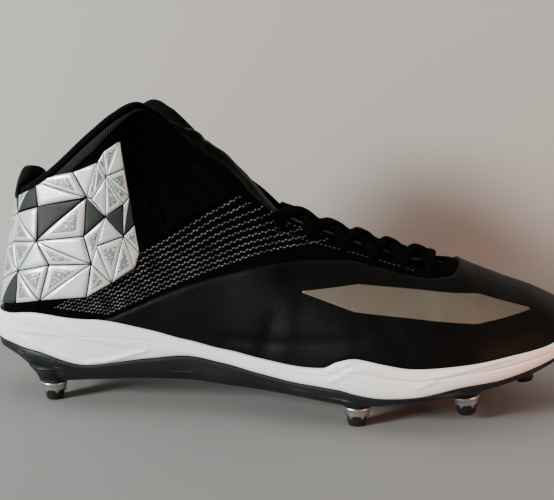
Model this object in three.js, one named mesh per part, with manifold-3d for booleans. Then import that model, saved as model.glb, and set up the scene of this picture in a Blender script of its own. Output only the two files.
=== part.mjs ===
// American football cleat, right shoe, in millimetres. Toe along +X, outer side along -Y, +Z up.
// Every surface comes from one foot: an outline seen from above, four height lines of the sole,
// and columns that climb from the feather line to the collar, the throat or the toe ridge.
import * as THREE from "three";
import { mergeVertices } from "three/addons/utils/BufferGeometryUtils.js";
import Module from "manifold-3d";

const wasm = await Module();
wasm.setup();

// Overall sizes of the foot
const LENGTH = 305;
const BALL_WIDTH = 103;
const UPPER_TALL = 119;
const COLLAR_WIDTH = 60;
const TOE_SWING = 8.5;

// Heights of the sole
const STUD_TALL = 9.8;
const TOE_RISE = 26.6;
const PLATE_TALL = 20.4;
const FOAM_TALL = 8.6;
const LIP_TALL = 16.2;

// Walls and gaps
const CLEARANCE = 0.3;
const WALL = 2;
const LIP_WALL = 3;
const LIP_LEAN = 0.9;
const SEAM_INSET = 1.6;
const PLATE_INSET = 5;
const PLATE_MIDDLE_INSET = 17;
const PLATE_BELLY = 0.12;
const GROOVE_DEPTH = 0.8;
const GROOVE_TALL = 1.6;
const INSOLE_THICK = 3;
const INSOLE_EASE = 0.8;
const TONGUE_THICK = 3.2;
const TONGUE_GAP = 1;

// Grid of the curved pieces
const STATIONS = 29;
const ROWS = 8;
const DIFFERENCE_STEP = 0.003;

// Outline from above and heights of the sole, a row for each section from heel to toe.
// at: share of LENGTH. outer and inner: half widths, shares of BALL_WIDTH. plate: height of the
// plate's underside over the studs, share of TOE_RISE. wall, foam and lip: shares of
// PLATE_TALL, FOAM_TALL and LIP_TALL, each stacked on the one before. pinch: how many times
// PLATE_INSET the plate's foot stands in from the outline.
const SOLE_SECTIONS = [
  { at: 0.0, outer: 0.0, inner: 0.0, plate: 0.034, wall: 0.995, foam: 0.174, lip: 0.796, pinch: 4.8 },
  { at: 0.04, outer: 0.225, inner: 0.225, plate: 0.034, wall: 0.985, foam: 0.163, lip: 0.84, pinch: 4.4 },
  { at: 0.1, outer: 0.32, inner: 0.31, plate: 0.023, wall: 0.907, foam: 0.407, lip: 0.988, pinch: 2.8 },
  { at: 0.2, outer: 0.354, inner: 0.34, plate: 0.18, wall: 0.436, foam: 0.977, lip: 0.914, pinch: 1.3 },
  { at: 0.3, outer: 0.36, inner: 0.325, plate: 0.271, wall: 0.554, foam: 0.477, lip: 0.623, pinch: 1 },
  { at: 0.36, outer: 0.366, inner: 0.305, plate: 0.282, wall: 0.642, foam: 0.291, lip: 0.34, pinch: 1 },
  { at: 0.42, outer: 0.379, inner: 0.296, plate: 0.226, wall: 0.583, foam: 0.384, lip: 0.228, pinch: 1 },
  { at: 0.48, outer: 0.41, inner: 0.31, plate: 0.195, wall: 0.446, foam: 0.453, lip: 0.228, pinch: 1 },
  { at: 0.54, outer: 0.447, inner: 0.35, plate: 0.139, wall: 0.387, foam: 0.477, lip: 0.253, pinch: 1 },
  { at: 0.58, outer: 0.476, inner: 0.388, plate: 0.105, wall: 0.397, foam: 0.43, lip: 0.358, pinch: 1 },
  { at: 0.6, outer: 0.49, inner: 0.41, plate: 0.09, wall: 0.397, foam: 0.43, lip: 0.593, pinch: 1 },
  { at: 0.63, outer: 0.507, inner: 0.437, plate: 0.083, wall: 0.333, foam: 0.581, lip: 0.747, pinch: 1 },
  { at: 0.67, outer: 0.514, inner: 0.466, plate: 0.117, wall: 0.225, foam: 0.733, lip: 0.63, pinch: 1 },
  { at: 0.72, outer: 0.512, inner: 0.49, plate: 0.195, wall: 0.167, foam: 0.698, lip: 0.481, pinch: 1 },
  { at: 0.8, outer: 0.475, inner: 0.5, plate: 0.32, wall: 0.26, foam: 0.442, lip: 0.395, pinch: 1 },
  { at: 0.86, outer: 0.41, inner: 0.476, plate: 0.447, wall: 0.206, foam: 0.593, lip: 0.321, pinch: 1 },
  { at: 0.94, outer: 0.262, inner: 0.395, plate: 0.684, wall: 0.211, foam: 0.395, lip: 0.241, pinch: 1 },
  { at: 0.975, outer: 0.13, inner: 0.29, plate: 0.835, wall: 0.157, foam: 0.326, lip: 0.241, pinch: 1 },
  { at: 1.0, outer: -0.083, inner: 0.083, plate: 0.921, wall: 0.132, foam: 0.291, lip: 0.241, pinch: 1 },
];

// Top end of each column of the upper: collar, then throat edge, then toe ridge.
// at: share of LENGTH where the column starts. reach: where it ends, share of LENGTH.
// tall: share of UPPER_TALL over the heel seat. half: share of COLLAR_WIDTH. swing: share of
// TOE_SWING. rise: height of the first handle. lean: plan length of the second handle, share of
// the way back to the foot. drop: its depth below the top, share of the column's height.
const UPPER_SECTIONS = [
  { at: 0.0, reach: 0.051, tall: 0.6, half: 0.0, swing: 0, rise: 0.3, lean: 0.36, drop: 0.26 },
  { at: 0.04, reach: 0.072, tall: 0.612, half: 0.27, swing: 0, rise: 0.3, lean: 0.34, drop: 0.28 },
  { at: 0.1, reach: 0.118, tall: 0.672, half: 0.41, swing: 0, rise: 0.3, lean: 0.3, drop: 0.32 },
  { at: 0.2, reach: 0.208, tall: 0.862, half: 0.47, swing: 0, rise: 0.3, lean: 0.3, drop: 0.36 },
  { at: 0.25, reach: 0.244, tall: 0.938, half: 0.435, swing: 0, rise: 0.3, lean: 0.3, drop: 0.36 },
  { at: 0.3, reach: 0.277, tall: 0.986, half: 0.32, swing: 0, rise: 0.3, lean: 0.3, drop: 0.36 },
  { at: 0.36, reach: 0.304, tall: 0.96, half: 0.27, swing: 0, rise: 0.32, lean: 0.34, drop: 0.3 },
  { at: 0.4, reach: 0.354, tall: 0.842, half: 0.265, swing: 0, rise: 0.33, lean: 0.38, drop: 0.24 },
  { at: 0.46, reach: 0.393, tall: 0.747, half: 0.272, swing: 0, rise: 0.34, lean: 0.42, drop: 0.18 },
  { at: 0.52, reach: 0.457, tall: 0.632, half: 0.283, swing: 0, rise: 0.36, lean: 0.45, drop: 0.14 },
  { at: 0.57, reach: 0.508, tall: 0.525, half: 0.255, swing: 0, rise: 0.38, lean: 0.47, drop: 0.12 },
  { at: 0.62, reach: 0.574, tall: 0.46, half: 0.229, swing: 0, rise: 0.4, lean: 0.48, drop: 0.1 },
  { at: 0.7, reach: 0.666, tall: 0.385, half: 0.209, swing: 0, rise: 0.43, lean: 0.5, drop: 0.06 },
  { at: 0.76, reach: 0.734, tall: 0.348, half: 0.18, swing: 0, rise: 0.46, lean: 0.5, drop: 0.02 },
  { at: 0.79, reach: 0.764, tall: 0.349, half: 0.1, swing: 0, rise: 0.48, lean: 0.5, drop: 0 },
  { at: 0.81, reach: 0.776, tall: 0.354, half: 0, swing: 0.02, rise: 0.5, lean: 0.5, drop: 0 },
  { at: 0.86, reach: 0.812, tall: 0.32, half: 0, swing: 0.2, rise: 0.54, lean: 0.52, drop: 0 },
  { at: 0.92, reach: 0.862, tall: 0.268, half: 0, swing: 0.6, rise: 0.58, lean: 0.54, drop: 0 },
  { at: 0.97, reach: 0.902, tall: 0.231, half: 0, swing: 0.85, rise: 0.6, lean: 0.55, drop: 0 },
  { at: 1.0, reach: 0.925, tall: 0.208, half: 0, swing: 1, rise: 0.6, lean: 0.55, drop: 0 },
];
const RIDGE_START = 0.81;

// Loop parameter: 0 at the heel, 1 at the toe, spaced so that both ends come out round.
const loopOf = (share) => Math.acos(1 - 2 * share) / Math.PI;
const shareOf = (loop) => (1 - Math.cos(Math.PI * loop)) / 2;

// A smooth line through one column of a table that never overshoots between two rows. Its ends
// are level, so both halves of the shoe meet smoothly, except where it is a half width.
function lineOf(rows, key) {
  const halfWidth = ["outer", "inner", "half"].includes(key);
  const x = rows.map((row) => loopOf(row.at));
  const y = rows.map((row) => row[key]);
  const slope = x.slice(1).map((value, i) => (y[i + 1] - y[i]) / (value - x[i]));
  const tangent = y.map((_, i) => {
    if (i === 0) return halfWidth ? slope[0] : 0;
    if (i === y.length - 1) return halfWidth ? slope[i - 1] : 0;
    if (slope[i - 1] * slope[i] <= 0) return 0;
    return (2 * slope[i - 1] * slope[i]) / (slope[i - 1] + slope[i]);
  });
  return (loop) => {
    let i = 0;
    while (i < x.length - 2 && loop > x[i + 1]) i += 1;
    const step = x[i + 1] - x[i];
    const t = THREE.MathUtils.clamp((loop - x[i]) / step, 0, 1);
    const curve = (3 - 2 * t) * t * t;
    const start = y[i] * (1 - curve) + y[i + 1] * curve;
    return start + step * t * (1 - t) * (tangent[i] * (1 - t) - tangent[i + 1] * t);
  };
}

const sole = {};
for (const key of ["outer", "inner", "plate", "wall", "foam", "lip", "pinch"]) {
  sole[key] = lineOf(SOLE_SECTIONS, key);
}
const top = {};
for (const key of ["reach", "tall", "half", "swing", "rise", "lean", "drop"]) {
  top[key] = lineOf(UPPER_SECTIONS, key);
}

// Height lines of the sole over the floor
const plateZ = (loop) => STUD_TALL + TOE_RISE * sole.plate(loop);
const seamZ = (loop) => plateZ(loop) + PLATE_TALL * sole.wall(loop);
const bedZ = (loop) => seamZ(loop) + FOAM_TALL * sole.foam(loop);
const lipZ = (loop) => bedZ(loop) + LIP_TALL * sole.lip(loop);
const SEAT_Z = bedZ(0);

// A way runs round the foot: -1 to 0 is the outer side from toe to heel, 0 to 1 the inner side back.
const wrap = (way) => way - 2 * Math.round(way / 2);
const loopAt = (way) => Math.abs(wrap(way));

function outline(way) {
  const turned = wrap(way);
  const loop = Math.abs(turned);
  const half = turned < 0 ? -sole.outer(loop) : sole.inner(loop);
  return new THREE.Vector2(LENGTH * shareOf(loop), BALL_WIDTH * half);
}

function inset(way, distance) {
  const step = outline(way + DIFFERENCE_STEP).sub(outline(way - DIFFERENCE_STEP));
  const inward = new THREE.Vector2(step.y, -step.x).normalize();
  return outline(way).addScaledVector(inward, distance);
}

// The upper's outer face: way round the foot, climb from 0 at the feather line to 1 at the top.
const UPPER_INSET = LIP_WALL + CLEARANCE;
const FOOT_LEAN = 0.08;
const RIDGE_WAY = loopOf(RIDGE_START);
const SNAP = 1e-6;
const onRidge = (way, climb) => climb === 1 && Math.abs(wrap(way)) > RIDGE_WAY - SNAP;

function topPoint(way) {
  const turned = wrap(way);
  const loop = Math.abs(turned);
  const half = onRidge(way, 1) ? 0 : COLLAR_WIDTH * top.half(loop);
  const middle = TOE_SWING * top.swing(loop);
  return new THREE.Vector3(
    LENGTH * top.reach(loop),
    middle + Math.sign(turned) * half,
    SEAT_Z + UPPER_TALL * top.tall(loop),
  );
}

function topSlope(loop) {
  const before = topPoint(Math.max(loop - DIFFERENCE_STEP, 0));
  const after = topPoint(Math.min(loop + DIFFERENCE_STEP, 1));
  return (after.z - before.z) / (after.x - before.x);
}

function face(way, climb) {
  const loop = Math.abs(wrap(way));
  const plan = inset(way, UPPER_INSET);
  const foot = new THREE.Vector3(plan.x, plan.y, bedZ(loop) + CLEARANCE);
  const end = topPoint(way);
  const tall = end.z - foot.z;
  const lean = top.lean(loop);
  const first = foot.clone();
  first.x += FOOT_LEAN * (end.x - foot.x);
  first.z += top.rise(loop) * tall;
  const second = end.clone();
  second.x += lean * (foot.x - end.x);
  second.y += lean * (foot.y - end.y);
  second.z += topSlope(loop) * lean * (foot.x - end.x) - top.drop(loop) * tall;
  return new THREE.CubicBezierCurve3(foot, first, second, end).getPoint(climb);
}

function climbing(way, climb) {
  const low = face(way, Math.max(climb - DIFFERENCE_STEP, 0));
  const high = face(way, Math.min(climb + DIFFERENCE_STEP, 1));
  return high.sub(low).normalize();
}

function outward(way, climb) {
  const along = face(way + DIFFERENCE_STEP, climb).sub(face(way - DIFFERENCE_STEP, climb));
  return climbing(way, climb).cross(along).normalize();
}

// A point over the outer face by the given distance. The foot and the ridge stay in their planes.
function skin(way, climb, distance) {
  const normal = outward(way, climb);
  if (climb === 0) normal.setZ(0).normalize();
  if (onRidge(way, climb)) normal.add(outward(-way, climb)).normalize();
  return face(way, climb).addScaledVector(normal, distance);
}

// Mesh helpers
function closedGeometry(triangles) {
  const positions = triangles.flatMap((corners) => corners.flatMap((p) => [p.x, p.y, p.z]));
  const geometry = new THREE.BufferGeometry();
  geometry.setAttribute("position", new THREE.Float32BufferAttribute(positions, 3));
  const merged = mergeVertices(geometry, 1e-3);
  const index = merged.index.array;
  const kept = [];
  for (let i = 0; i < index.length; i += 3) {
    const [a, b, c] = [index[i], index[i + 1], index[i + 2]];
    if (a !== b && b !== c && c !== a) kept.push(a, b, c);
  }
  merged.setIndex(kept);
  return merged;
}

function toSolid(geometry) {
  const mesh = new wasm.Mesh({
    numProp: 3,
    vertProperties: geometry.getAttribute("position").array,
    triVerts: new Uint32Array(geometry.index.array),
  });
  return new wasm.Manifold(mesh);
}

function plainSolid(geometry) {
  const plain = geometry.clone();
  plain.deleteAttribute("normal");
  plain.deleteAttribute("uv");
  return toSolid(mergeVertices(plain, 1e-3));
}

function toGeometry(solid) {
  const mesh = solid.getMesh();
  const geometry = new THREE.BufferGeometry();
  geometry.setAttribute("position", new THREE.BufferAttribute(mesh.vertProperties, 3));
  geometry.setIndex(new THREE.BufferAttribute(mesh.triVerts, 1));
  return geometry;
}

function quad(triangles, a, b, c, d) {
  triangles.push([a, b, c], [a, c, d]);
}

const WAYS = Array.from({ length: 2 * STATIONS }, (_, i) => -i / STATIONS);

// A solid of closed rings stacked upwards, each with a point for every way, flat across its ends.
function stackOf(rings) {
  const triangles = [];
  const count = 2 * STATIONS;
  for (let k = 0; k < rings.length - 1; k += 1) {
    for (let i = 0; i < count; i += 1) {
      const next = (i + 1) % count;
      quad(triangles, rings[k][i], rings[k][next], rings[k + 1][next], rings[k + 1][i]);
    }
  }
  const under = rings[0];
  const over = rings[rings.length - 1];
  for (let i = 0; i < STATIONS; i += 1) {
    const left = count - i;
    const nextLeft = count - i - 1;
    quad(triangles, under[i], under[left % count], under[nextLeft], under[i + 1]);
    quad(triangles, over[i], over[i + 1], over[nextLeft], over[left % count]);
  }
  return closedGeometry(triangles);
}

// A ring in from the outline, by one distance or by one for each loop, at a height for each loop.
function ringOf(distance, heightOf) {
  return WAYS.map((way) => {
    const loop = loopAt(way);
    const plan = inset(way, typeof distance === "function" ? distance(loop) : distance);
    return new THREE.Vector3(plan.x, plan.y, heightOf(loop));
  });
}

// Midsole: a cup with a grooved side wall and a lip round the upper's foot.
// in: distance in from the outline. up: share of the way from the seam to the lip. over: height
// over that. The two last rings go back down to the bed.
const GROOVE_UP = 0.62;
const CUP_PROFILE = [
  { in: SEAM_INSET, up: 0, over: 0 },
  { in: SEAM_INSET / 4, up: 0.14, over: 0 },
  { in: 0, up: 0.34, over: 0 },
  { in: 0.1, up: GROOVE_UP, over: -GROOVE_TALL / 2 },
  { in: 0.1 + GROOVE_DEPTH, up: GROOVE_UP, over: 0 },
  { in: 0.2, up: GROOVE_UP, over: GROOVE_TALL / 2 },
  { in: LIP_LEAN * 0.6, up: 0.92, over: 0 },
  { in: LIP_LEAN * 1.6, up: 1, over: 0 },
  { in: LIP_WALL, up: 1, over: -0.6 },
];

function midsoleGeometry() {
  const rings = CUP_PROFILE.map((row) =>
    ringOf(row.in, (loop) => THREE.MathUtils.lerp(seamZ(loop), lipZ(loop), row.up) + row.over),
  );
  return stackOf([...rings, ringOf(LIP_WALL, bedZ)]);
}

// Outsole: a plate whose side climbs to the midsole, with bosses that carry the studs.
// at: share of LENGTH. side: share of BALL_WIDTH. sink: height of the tip over the floor, share
// of TOE_RISE. tilt: degrees that the stud leans with the rise of the toe.
const STUDS = [
  { name: "heel_outer", at: 0.118, side: -0.185, sink: 0, tilt: 0 },
  { name: "heel_inner", at: 0.118, side: 0.185, sink: 0, tilt: 0 },
  { name: "ball_outer", at: 0.633, side: -0.376, sink: 0, tilt: 0 },
  { name: "ball_inner", at: 0.655, side: 0.34, sink: 0, tilt: 0 },
  { name: "front_outer", at: 0.807, side: -0.262, sink: 0.13, tilt: 7 },
  { name: "front_inner", at: 0.815, side: 0.32, sink: 0.14, tilt: 7 },
  { name: "toe", at: 0.912, side: 0.078, sink: 0.37, tilt: 12 },
];
const STUD_FLANGE = 13.4;
const STUD_WAIST = 11.4;
const STUD_TIP = 8.6;
const BASE_TALL = 4.2;
const BOSS_WIDTH = 25;
const BOSS_FOOT_WIDTH = 15;
const STUD_SIDES = 10;
const BOSS_SIDES = 10;

// Side of the plate. in: share of the foot's own inset. up: share of the way to the seam.
const PLATE_PROFILE = [
  { in: 1, up: 0 },
  { in: 0.6, up: 0.25 },
  { in: 0.4, up: 0.5 },
];

// Turns a lathe's axis upright, leans it with the toe and stands its foot at the stud's tip.
function placed(geometry, stud) {
  return geometry
    .clone()
    .rotateX(Math.PI / 2)
    .rotateY(-THREE.MathUtils.degToRad(stud.tilt))
    .translate(LENGTH * stud.at, BALL_WIDTH * stud.side, TOE_RISE * stud.sink);
}

function latheOf(profile, sides) {
  return new THREE.LatheGeometry(
    profile.map(([radius, height]) => new THREE.Vector2(radius, height)),
    sides,
  );
}

function bossGeometry(stud) {
  const loop = loopOf(stud.at);
  const foot = STUD_TALL + CLEARANCE;
  const head = (seamZ(loop) + plateZ(loop)) / 2 - TOE_RISE * stud.sink;
  const profile = [
    [0, foot],
    [BOSS_FOOT_WIDTH / 2, foot],
    [BOSS_WIDTH / 2, head],
    [0, head],
  ];
  return latheOf(profile, BOSS_SIDES);
}

function outsoleGeometry() {
  const sideZ = (up) => (loop) => THREE.MathUtils.lerp(plateZ(loop), seamZ(loop) - CLEARANCE, up);
  const side = PLATE_PROFILE.map((row) =>
    ringOf((loop) => row.in * PLATE_INSET * sole.pinch(loop), sideZ(row.up)),
  );
  const middle = (loop) => Math.max(PLATE_MIDDLE_INSET, 1.15 * PLATE_INSET * sole.pinch(loop));
  const belly = (loop) => plateZ(loop) - PLATE_BELLY * TOE_RISE * sole.plate(loop);
  let solid = toSolid(
    stackOf([
      ringOf(middle, belly),
      ...side,
      ringOf(SEAM_INSET * 1.3, sideZ(0.8)),
      ringOf(SEAM_INSET, sideZ(1)),
    ]),
  );
  for (const stud of STUDS) {
    solid = solid.add(plainSolid(placed(bossGeometry(stud), stud)));
  }
  return toGeometry(solid);
}

function studBaseGeometry() {
  const profile = [
    [0, STUD_TALL - BASE_TALL],
    [STUD_WAIST / 2 - 0.6, STUD_TALL - BASE_TALL],
    [STUD_WAIST / 2, STUD_TALL - BASE_TALL + 0.6],
    [STUD_FLANGE / 2, STUD_TALL - 1.2],
    [STUD_FLANGE / 2, STUD_TALL],
    [0, STUD_TALL],
  ];
  return latheOf(profile, STUD_SIDES);
}

function studTipGeometry() {
  const head = STUD_TALL - BASE_TALL - CLEARANCE;
  const profile = [
    [0, 0],
    [STUD_TIP / 2 - 0.5, 0],
    [STUD_TIP / 2, 0.6],
    [STUD_WAIST / 2 - 0.7, head],
    [0, head],
  ];
  return latheOf(profile, STUD_SIDES);
}

// Insole: a thin bed inside the upper's wall
function insoleGeometry() {
  const edge = UPPER_INSET + WALL + CLEARANCE;
  const under = (loop) => bedZ(loop) + CLEARANCE;
  return stackOf([
    ringOf(edge, under),
    ringOf(edge + INSOLE_EASE, (loop) => under(loop) + INSOLE_THICK * 0.7),
    ringOf(edge + 2 * INSOLE_EASE, (loop) => under(loop) + INSOLE_THICK),
  ]);
}

// A wall that follows the upper's own face all round, joined along the ridge of the toe.
function wallOf({ outer, inner }) {
  const ways = waysBetween(1, -1 + 1 / STATIONS);
  const layer = (distance) =>
    ways.map((way) => Array.from({ length: ROWS + 1 }, (_, k) => skin(way, k / ROWS, distance)));
  const out = layer(outer);
  const into = layer(inner);
  const triangles = [];
  for (let i = 0; i < ways.length; i += 1) {
    const next = (i + 1) % ways.length;
    for (let k = 0; k < ROWS; k += 1) {
      quad(triangles, out[i][k], out[next][k], out[next][k + 1], out[i][k + 1]);
      quad(triangles, into[i][k], into[i][k + 1], into[next][k + 1], into[next][k]);
    }
    quad(triangles, into[i][0], into[next][0], out[next][0], out[i][0]);
    if (!(onRidge(ways[i], 1) && onRidge(ways[next], 1))) {
      quad(triangles, out[i][ROWS], out[next][ROWS], into[next][ROWS], into[i][ROWS]);
    }
  }
  return closedGeometry(triangles);
}

// The upper's nearest station on each side is moved to where the throat ends on the ridge.
const nearRidge = (way) => Math.abs(Math.abs(wrap(way)) - RIDGE_WAY) < 0.5 / STATIONS;
const snapped = (way) => (nearRidge(way) ? Math.sign(wrap(way)) * RIDGE_WAY : way);

function waysBetween(from, to) {
  const ways = [];
  for (let i = Math.floor(from * STATIONS); i >= Math.ceil(to * STATIONS); i -= 1) {
    ways.push(snapped(i / STATIONS));
  }
  return ways;
}

const columnLength = (way) => face(way, 0).distanceTo(face(way, 1));
const climbBelow = (way, distance) => 1 - distance / columnLength(way);

// Flat triangles across a closed section, turned to face the given way.
function capOf(section, facing) {
  const along = section[Math.floor(section.length / 2)].clone().sub(section[0]).normalize();
  const side = section[Math.floor(section.length / 4)].clone().sub(section[0]);
  const across = along.clone().cross(side).cross(along).normalize();
  const flat = section.map((point) => new THREE.Vector2(point.dot(along), point.dot(across)));
  return THREE.ShapeUtils.triangulateShape(flat, []).map((corners) => {
    const [p, q, r] = corners.map((corner) => section[corner]);
    const normal = q.clone().sub(p).cross(r.clone().sub(p));
    return normal.dot(facing) > 0 ? [p, q, r] : [p, r, q];
  });
}

// A swept solid through closed sections of equal count, with both ends capped.
function sweepOf(sections) {
  const triangles = [];
  const corners = sections[0].length;
  for (let i = 0; i < sections.length - 1; i += 1) {
    for (let k = 0; k < corners; k += 1) {
      const next = (k + 1) % corners;
      quad(triangles, sections[i][k], sections[i + 1][k], sections[i + 1][next], sections[i][next]);
    }
  }
  const faceOut = (section, neighbour) => capOf(section, section[0].clone().sub(neighbour[0]));
  const end = sections.length - 1;
  triangles.push(...faceOut(sections[0], sections[1]), ...faceOut(sections[end], sections[end - 1]));
  return turnedOut(closedGeometry(triangles));
}

// Turns the faces round where they point inwards, judged by the sign of the volume.
function turnedOut(geometry) {
  const position = geometry.getAttribute("position");
  const index = geometry.index.array;
  const corner = (i) => new THREE.Vector3().fromBufferAttribute(position, index[i]);
  let volume = 0;
  for (let i = 0; i < index.length; i += 3) {
    volume += corner(i).dot(corner(i + 1).cross(corner(i + 2)));
  }
  if (volume < 0) {
    geometry.setIndex(Array.from(index).reverse());
  }
  return geometry;
}

// Laces: crossings over the throat from eyelet to eyelet, with a bar at the front pair.
// Shares are the columns of the upper that carry the eyelets.
const EYELET_PAIRS = 6;
const EYELET_FROM = 0.56;
const EYELET_TO = 0.768;
const EYELET_DOWN = 5.2;
const EYELET_WIDTH = 4;
const EYELET_SIDES = 6;
const LACE_WIDTH = 5.5;
const LACE_THICK = 1.9;
const LACE_LIFT = 1.6;
const LACE_STEPS = 4;
const LACE_SIDES = 6;
const LACE_HANDLE = 0.44;

const eyeletLoop = (pair) =>
  loopOf(EYELET_FROM + ((EYELET_TO - EYELET_FROM) * pair) / (EYELET_PAIRS - 1));

function cutEyelets(geometry) {
  let solid = toSolid(geometry);
  for (let pair = 0; pair < EYELET_PAIRS; pair += 1) {
    for (const side of [-1, 1]) {
      const way = side * eyeletLoop(pair);
      const climb = climbBelow(way, EYELET_DOWN);
      const punch = new THREE.CylinderGeometry(EYELET_WIDTH / 2, EYELET_WIDTH / 2, 4 * WALL, EYELET_SIDES);
      const up = new THREE.Vector3(0, 1, 0);
      punch.applyQuaternion(new THREE.Quaternion().setFromUnitVectors(up, outward(way, climb)));
      const center = skin(way, climb, -WALL / 2);
      punch.translate(center.x, center.y, center.z);
      solid = solid.subtract(plainSolid(punch));
    }
  }
  return toGeometry(solid);
}

function upperGeometry() {
  return cutEyelets(wallOf({ outer: 0, inner: -WALL }));
}

function laceGeometry(fromWay, toWay) {
  const height = LACE_THICK / 2 + LACE_LIFT;
  const ends = [fromWay, toWay].map((way) => {
    const climb = climbBelow(way, EYELET_DOWN);
    return { point: skin(way, climb, height), up: outward(way, climb), over: climbing(way, climb) };
  });
  const [start, end] = ends;
  const handle = start.point.distanceTo(end.point) * LACE_HANDLE;
  const arc = new THREE.CubicBezierCurve3(
    start.point,
    start.point.clone().addScaledVector(start.over, handle),
    end.point.clone().addScaledVector(end.over, handle),
    end.point,
  );
  const sections = [];
  for (let k = 0; k <= LACE_STEPS; k += 1) {
    const t = k / LACE_STEPS;
    const tangent = arc.getTangent(t);
    const up = start.up.clone().lerp(end.up, t);
    const across = tangent.clone().cross(up).normalize();
    const normal = across.clone().cross(tangent).normalize();
    const center = arc.getPoint(t);
    const section = Array.from({ length: LACE_SIDES }, (_, i) => {
      const angle = (2 * Math.PI * (i + 0.5)) / LACE_SIDES;
      return center
        .clone()
        .addScaledVector(across, (LACE_WIDTH / 2) * Math.cos(angle))
        .addScaledVector(normal, (LACE_THICK / 2) * Math.sin(angle));
    });
    sections.push(section);
  }
  return sweepOf(sections);
}

function lacesGeometry() {
  const front = eyeletLoop(EYELET_PAIRS - 1);
  let solid = toSolid(laceGeometry(-front, front));
  for (let pair = EYELET_PAIRS - 2; pair >= 0; pair -= 1) {
    for (const side of [-1, 1]) {
      const from = side * eyeletLoop(pair);
      const to = -side * eyeletLoop(pair + 1);
      solid = solid.add(toSolid(laceGeometry(from, to)));
    }
  }
  return toGeometry(solid);
}

// Overlays: skins over the upper, cut from a wall round it by an outline seen from the side.
// along: share of LENGTH. tall: height over the heel seat, share of UPPER_TALL.
const OVERLAY_THICK = 0.9;
const LIP_MARGIN = 1;
const COLLAR_MARGIN = 3.5;
const ANKLE_END = 0.5;
const ANKLE_EDGE = [
  { along: -0.05, tall: 0.148 },
  { along: 0.06, tall: 0.148 },
  { along: 0.125, tall: 0.15 },
  { along: 0.184, tall: 0.24 },
  { along: 0.253, tall: 0.366 },
  { along: 0.319, tall: 0.458 },
  { along: 0.384, tall: 0.564 },
  { along: 0.42, tall: 0.618 },
];
const FOREFOOT_EDGE = [
  { along: 0.235, tall: 0.13 },
  { along: 0.27, tall: 0.172 },
  { along: 0.35, tall: 0.262 },
  { along: 0.433, tall: 0.33 },
  { along: 0.479, tall: 0.36 },
  { along: 0.541, tall: 0.38 },
  { along: 0.61, tall: 0.378 },
  { along: 0.656, tall: 0.352 },
  { along: 0.7, tall: 0.325 },
  { along: 0.74, tall: 0.31 },
  { along: 0.775, tall: 0.315 },
  { along: 0.8, tall: 0.36 },
  { along: 1.05, tall: 0.36 },
];
const EDGE_STEPS = 24;

const sidePoint = (row) => new THREE.Vector2(LENGTH * row.along, SEAT_Z + UPPER_TALL * row.tall);

function overlayOf(outlinePoints) {
  const form = new THREE.ExtrudeGeometry(new THREE.Shape(outlinePoints), {
    depth: 2 * BALL_WIDTH,
    bevelEnabled: false,
  });
  form.rotateX(Math.PI / 2).translate(0, BALL_WIDTH, 0);
  const wall = toSolid(wallOf({ outer: CLEARANCE + OVERLAY_THICK, inner: CLEARANCE }));
  return toGeometry(wall.intersect(plainSolid(form)));
}

function anklePanelGeometry() {
  const end = loopOf(ANKLE_END);
  const collar = Array.from({ length: EDGE_STEPS + 1 }, (_, i) => {
    const way = -end * (1 - i / EDGE_STEPS);
    const point = skin(way, climbBelow(way, COLLAR_MARGIN), 0);
    return new THREE.Vector2(point.x, point.z);
  });
  const last = collar[collar.length - 1];
  const behind = new THREE.Vector2(sidePoint(ANKLE_EDGE[0]).x, last.y);
  return overlayOf([...ANKLE_EDGE.map(sidePoint), ...collar, behind]);
}

function forefootPanelGeometry() {
  const overLip = (along) => lipZ(loopOf(Math.min(along, 1))) + LIP_MARGIN;
  const edge = FOREFOOT_EDGE.map(sidePoint);
  edge.forEach((point) => point.setY(Math.max(point.y, overLip(point.x / LENGTH) + CLEARANCE)));
  const start = FOREFOOT_EDGE[0].along;
  const lip = Array.from({ length: EDGE_STEPS + 1 }, (_, i) => {
    const along = 1 + ((start - 1) * i) / EDGE_STEPS;
    return new THREE.Vector2(LENGTH * along, overLip(along));
  });
  const ahead = new THREE.Vector2(edge[edge.length - 1].x, lip[0].y);
  return overlayOf([...edge, ahead, ...lip]);
}

// Collar: a padded lip hooked over the wall's top edge, and a fabric tab over it at the heel.
const CUFF_END = 0.4;
const CUFF_RISE = 4.8;
const CUFF_DEPTH = 12;
const CUFF_THICK = 3.6;
const CUFF_FADE = 0.8;
const CUFF_FADE_FROM = 0.6;
const CUFF_SEAT = 0.6;
const CUFF_INNER = -(WALL + CLEARANCE + 0.1);
const CUFF_DEEP = CUFF_INNER - CUFF_THICK;
const TAB_END = 0.035;
const TAB_RISE = 15.5;
const TAB_LOW = 8;
const TAB_THICK = 1.3;
const TAB_STEPS = 8;

// A point beside the collar's edge: out from the wall's face, and up past its edge or down it.
function rimPoint(way, out, up) {
  if (up < 0) return skin(way, climbBelow(way, -up), out);
  return face(way, 1).addScaledVector(outward(way, 1), out).addScaledVector(climbing(way, 1), up);
}

// Section of the lip. out: distance from the wall's face. over: distance past its edge.
// rise: share of CUFF_RISE on top of that, which fades out at the ends.
const CUFF_PROFILE = [
  { out: CUFF_INNER, over: CUFF_SEAT, rise: 0 },
  { out: -0.1, over: CUFF_SEAT, rise: 0 },
  { out: 0.4, over: CUFF_SEAT, rise: 0.35 },
  { out: 0, over: CUFF_SEAT, rise: 0.75 },
  { out: CUFF_INNER, over: CUFF_SEAT, rise: 1 },
  { out: CUFF_DEEP * 0.85, over: 0, rise: 0.75 },
  { out: CUFF_DEEP, over: 0, rise: 0 },
  { out: CUFF_DEEP * 0.97, over: -CUFF_DEPTH * 0.6, rise: 0 },
  { out: CUFF_INNER - 0.8, over: -CUFF_DEPTH, rise: 0 },
  { out: CUFF_INNER, over: -CUFF_DEPTH * 0.96, rise: 0 },
  { out: CUFF_INNER, over: -CUFF_DEPTH * 0.5, rise: 0 },
];

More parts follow.
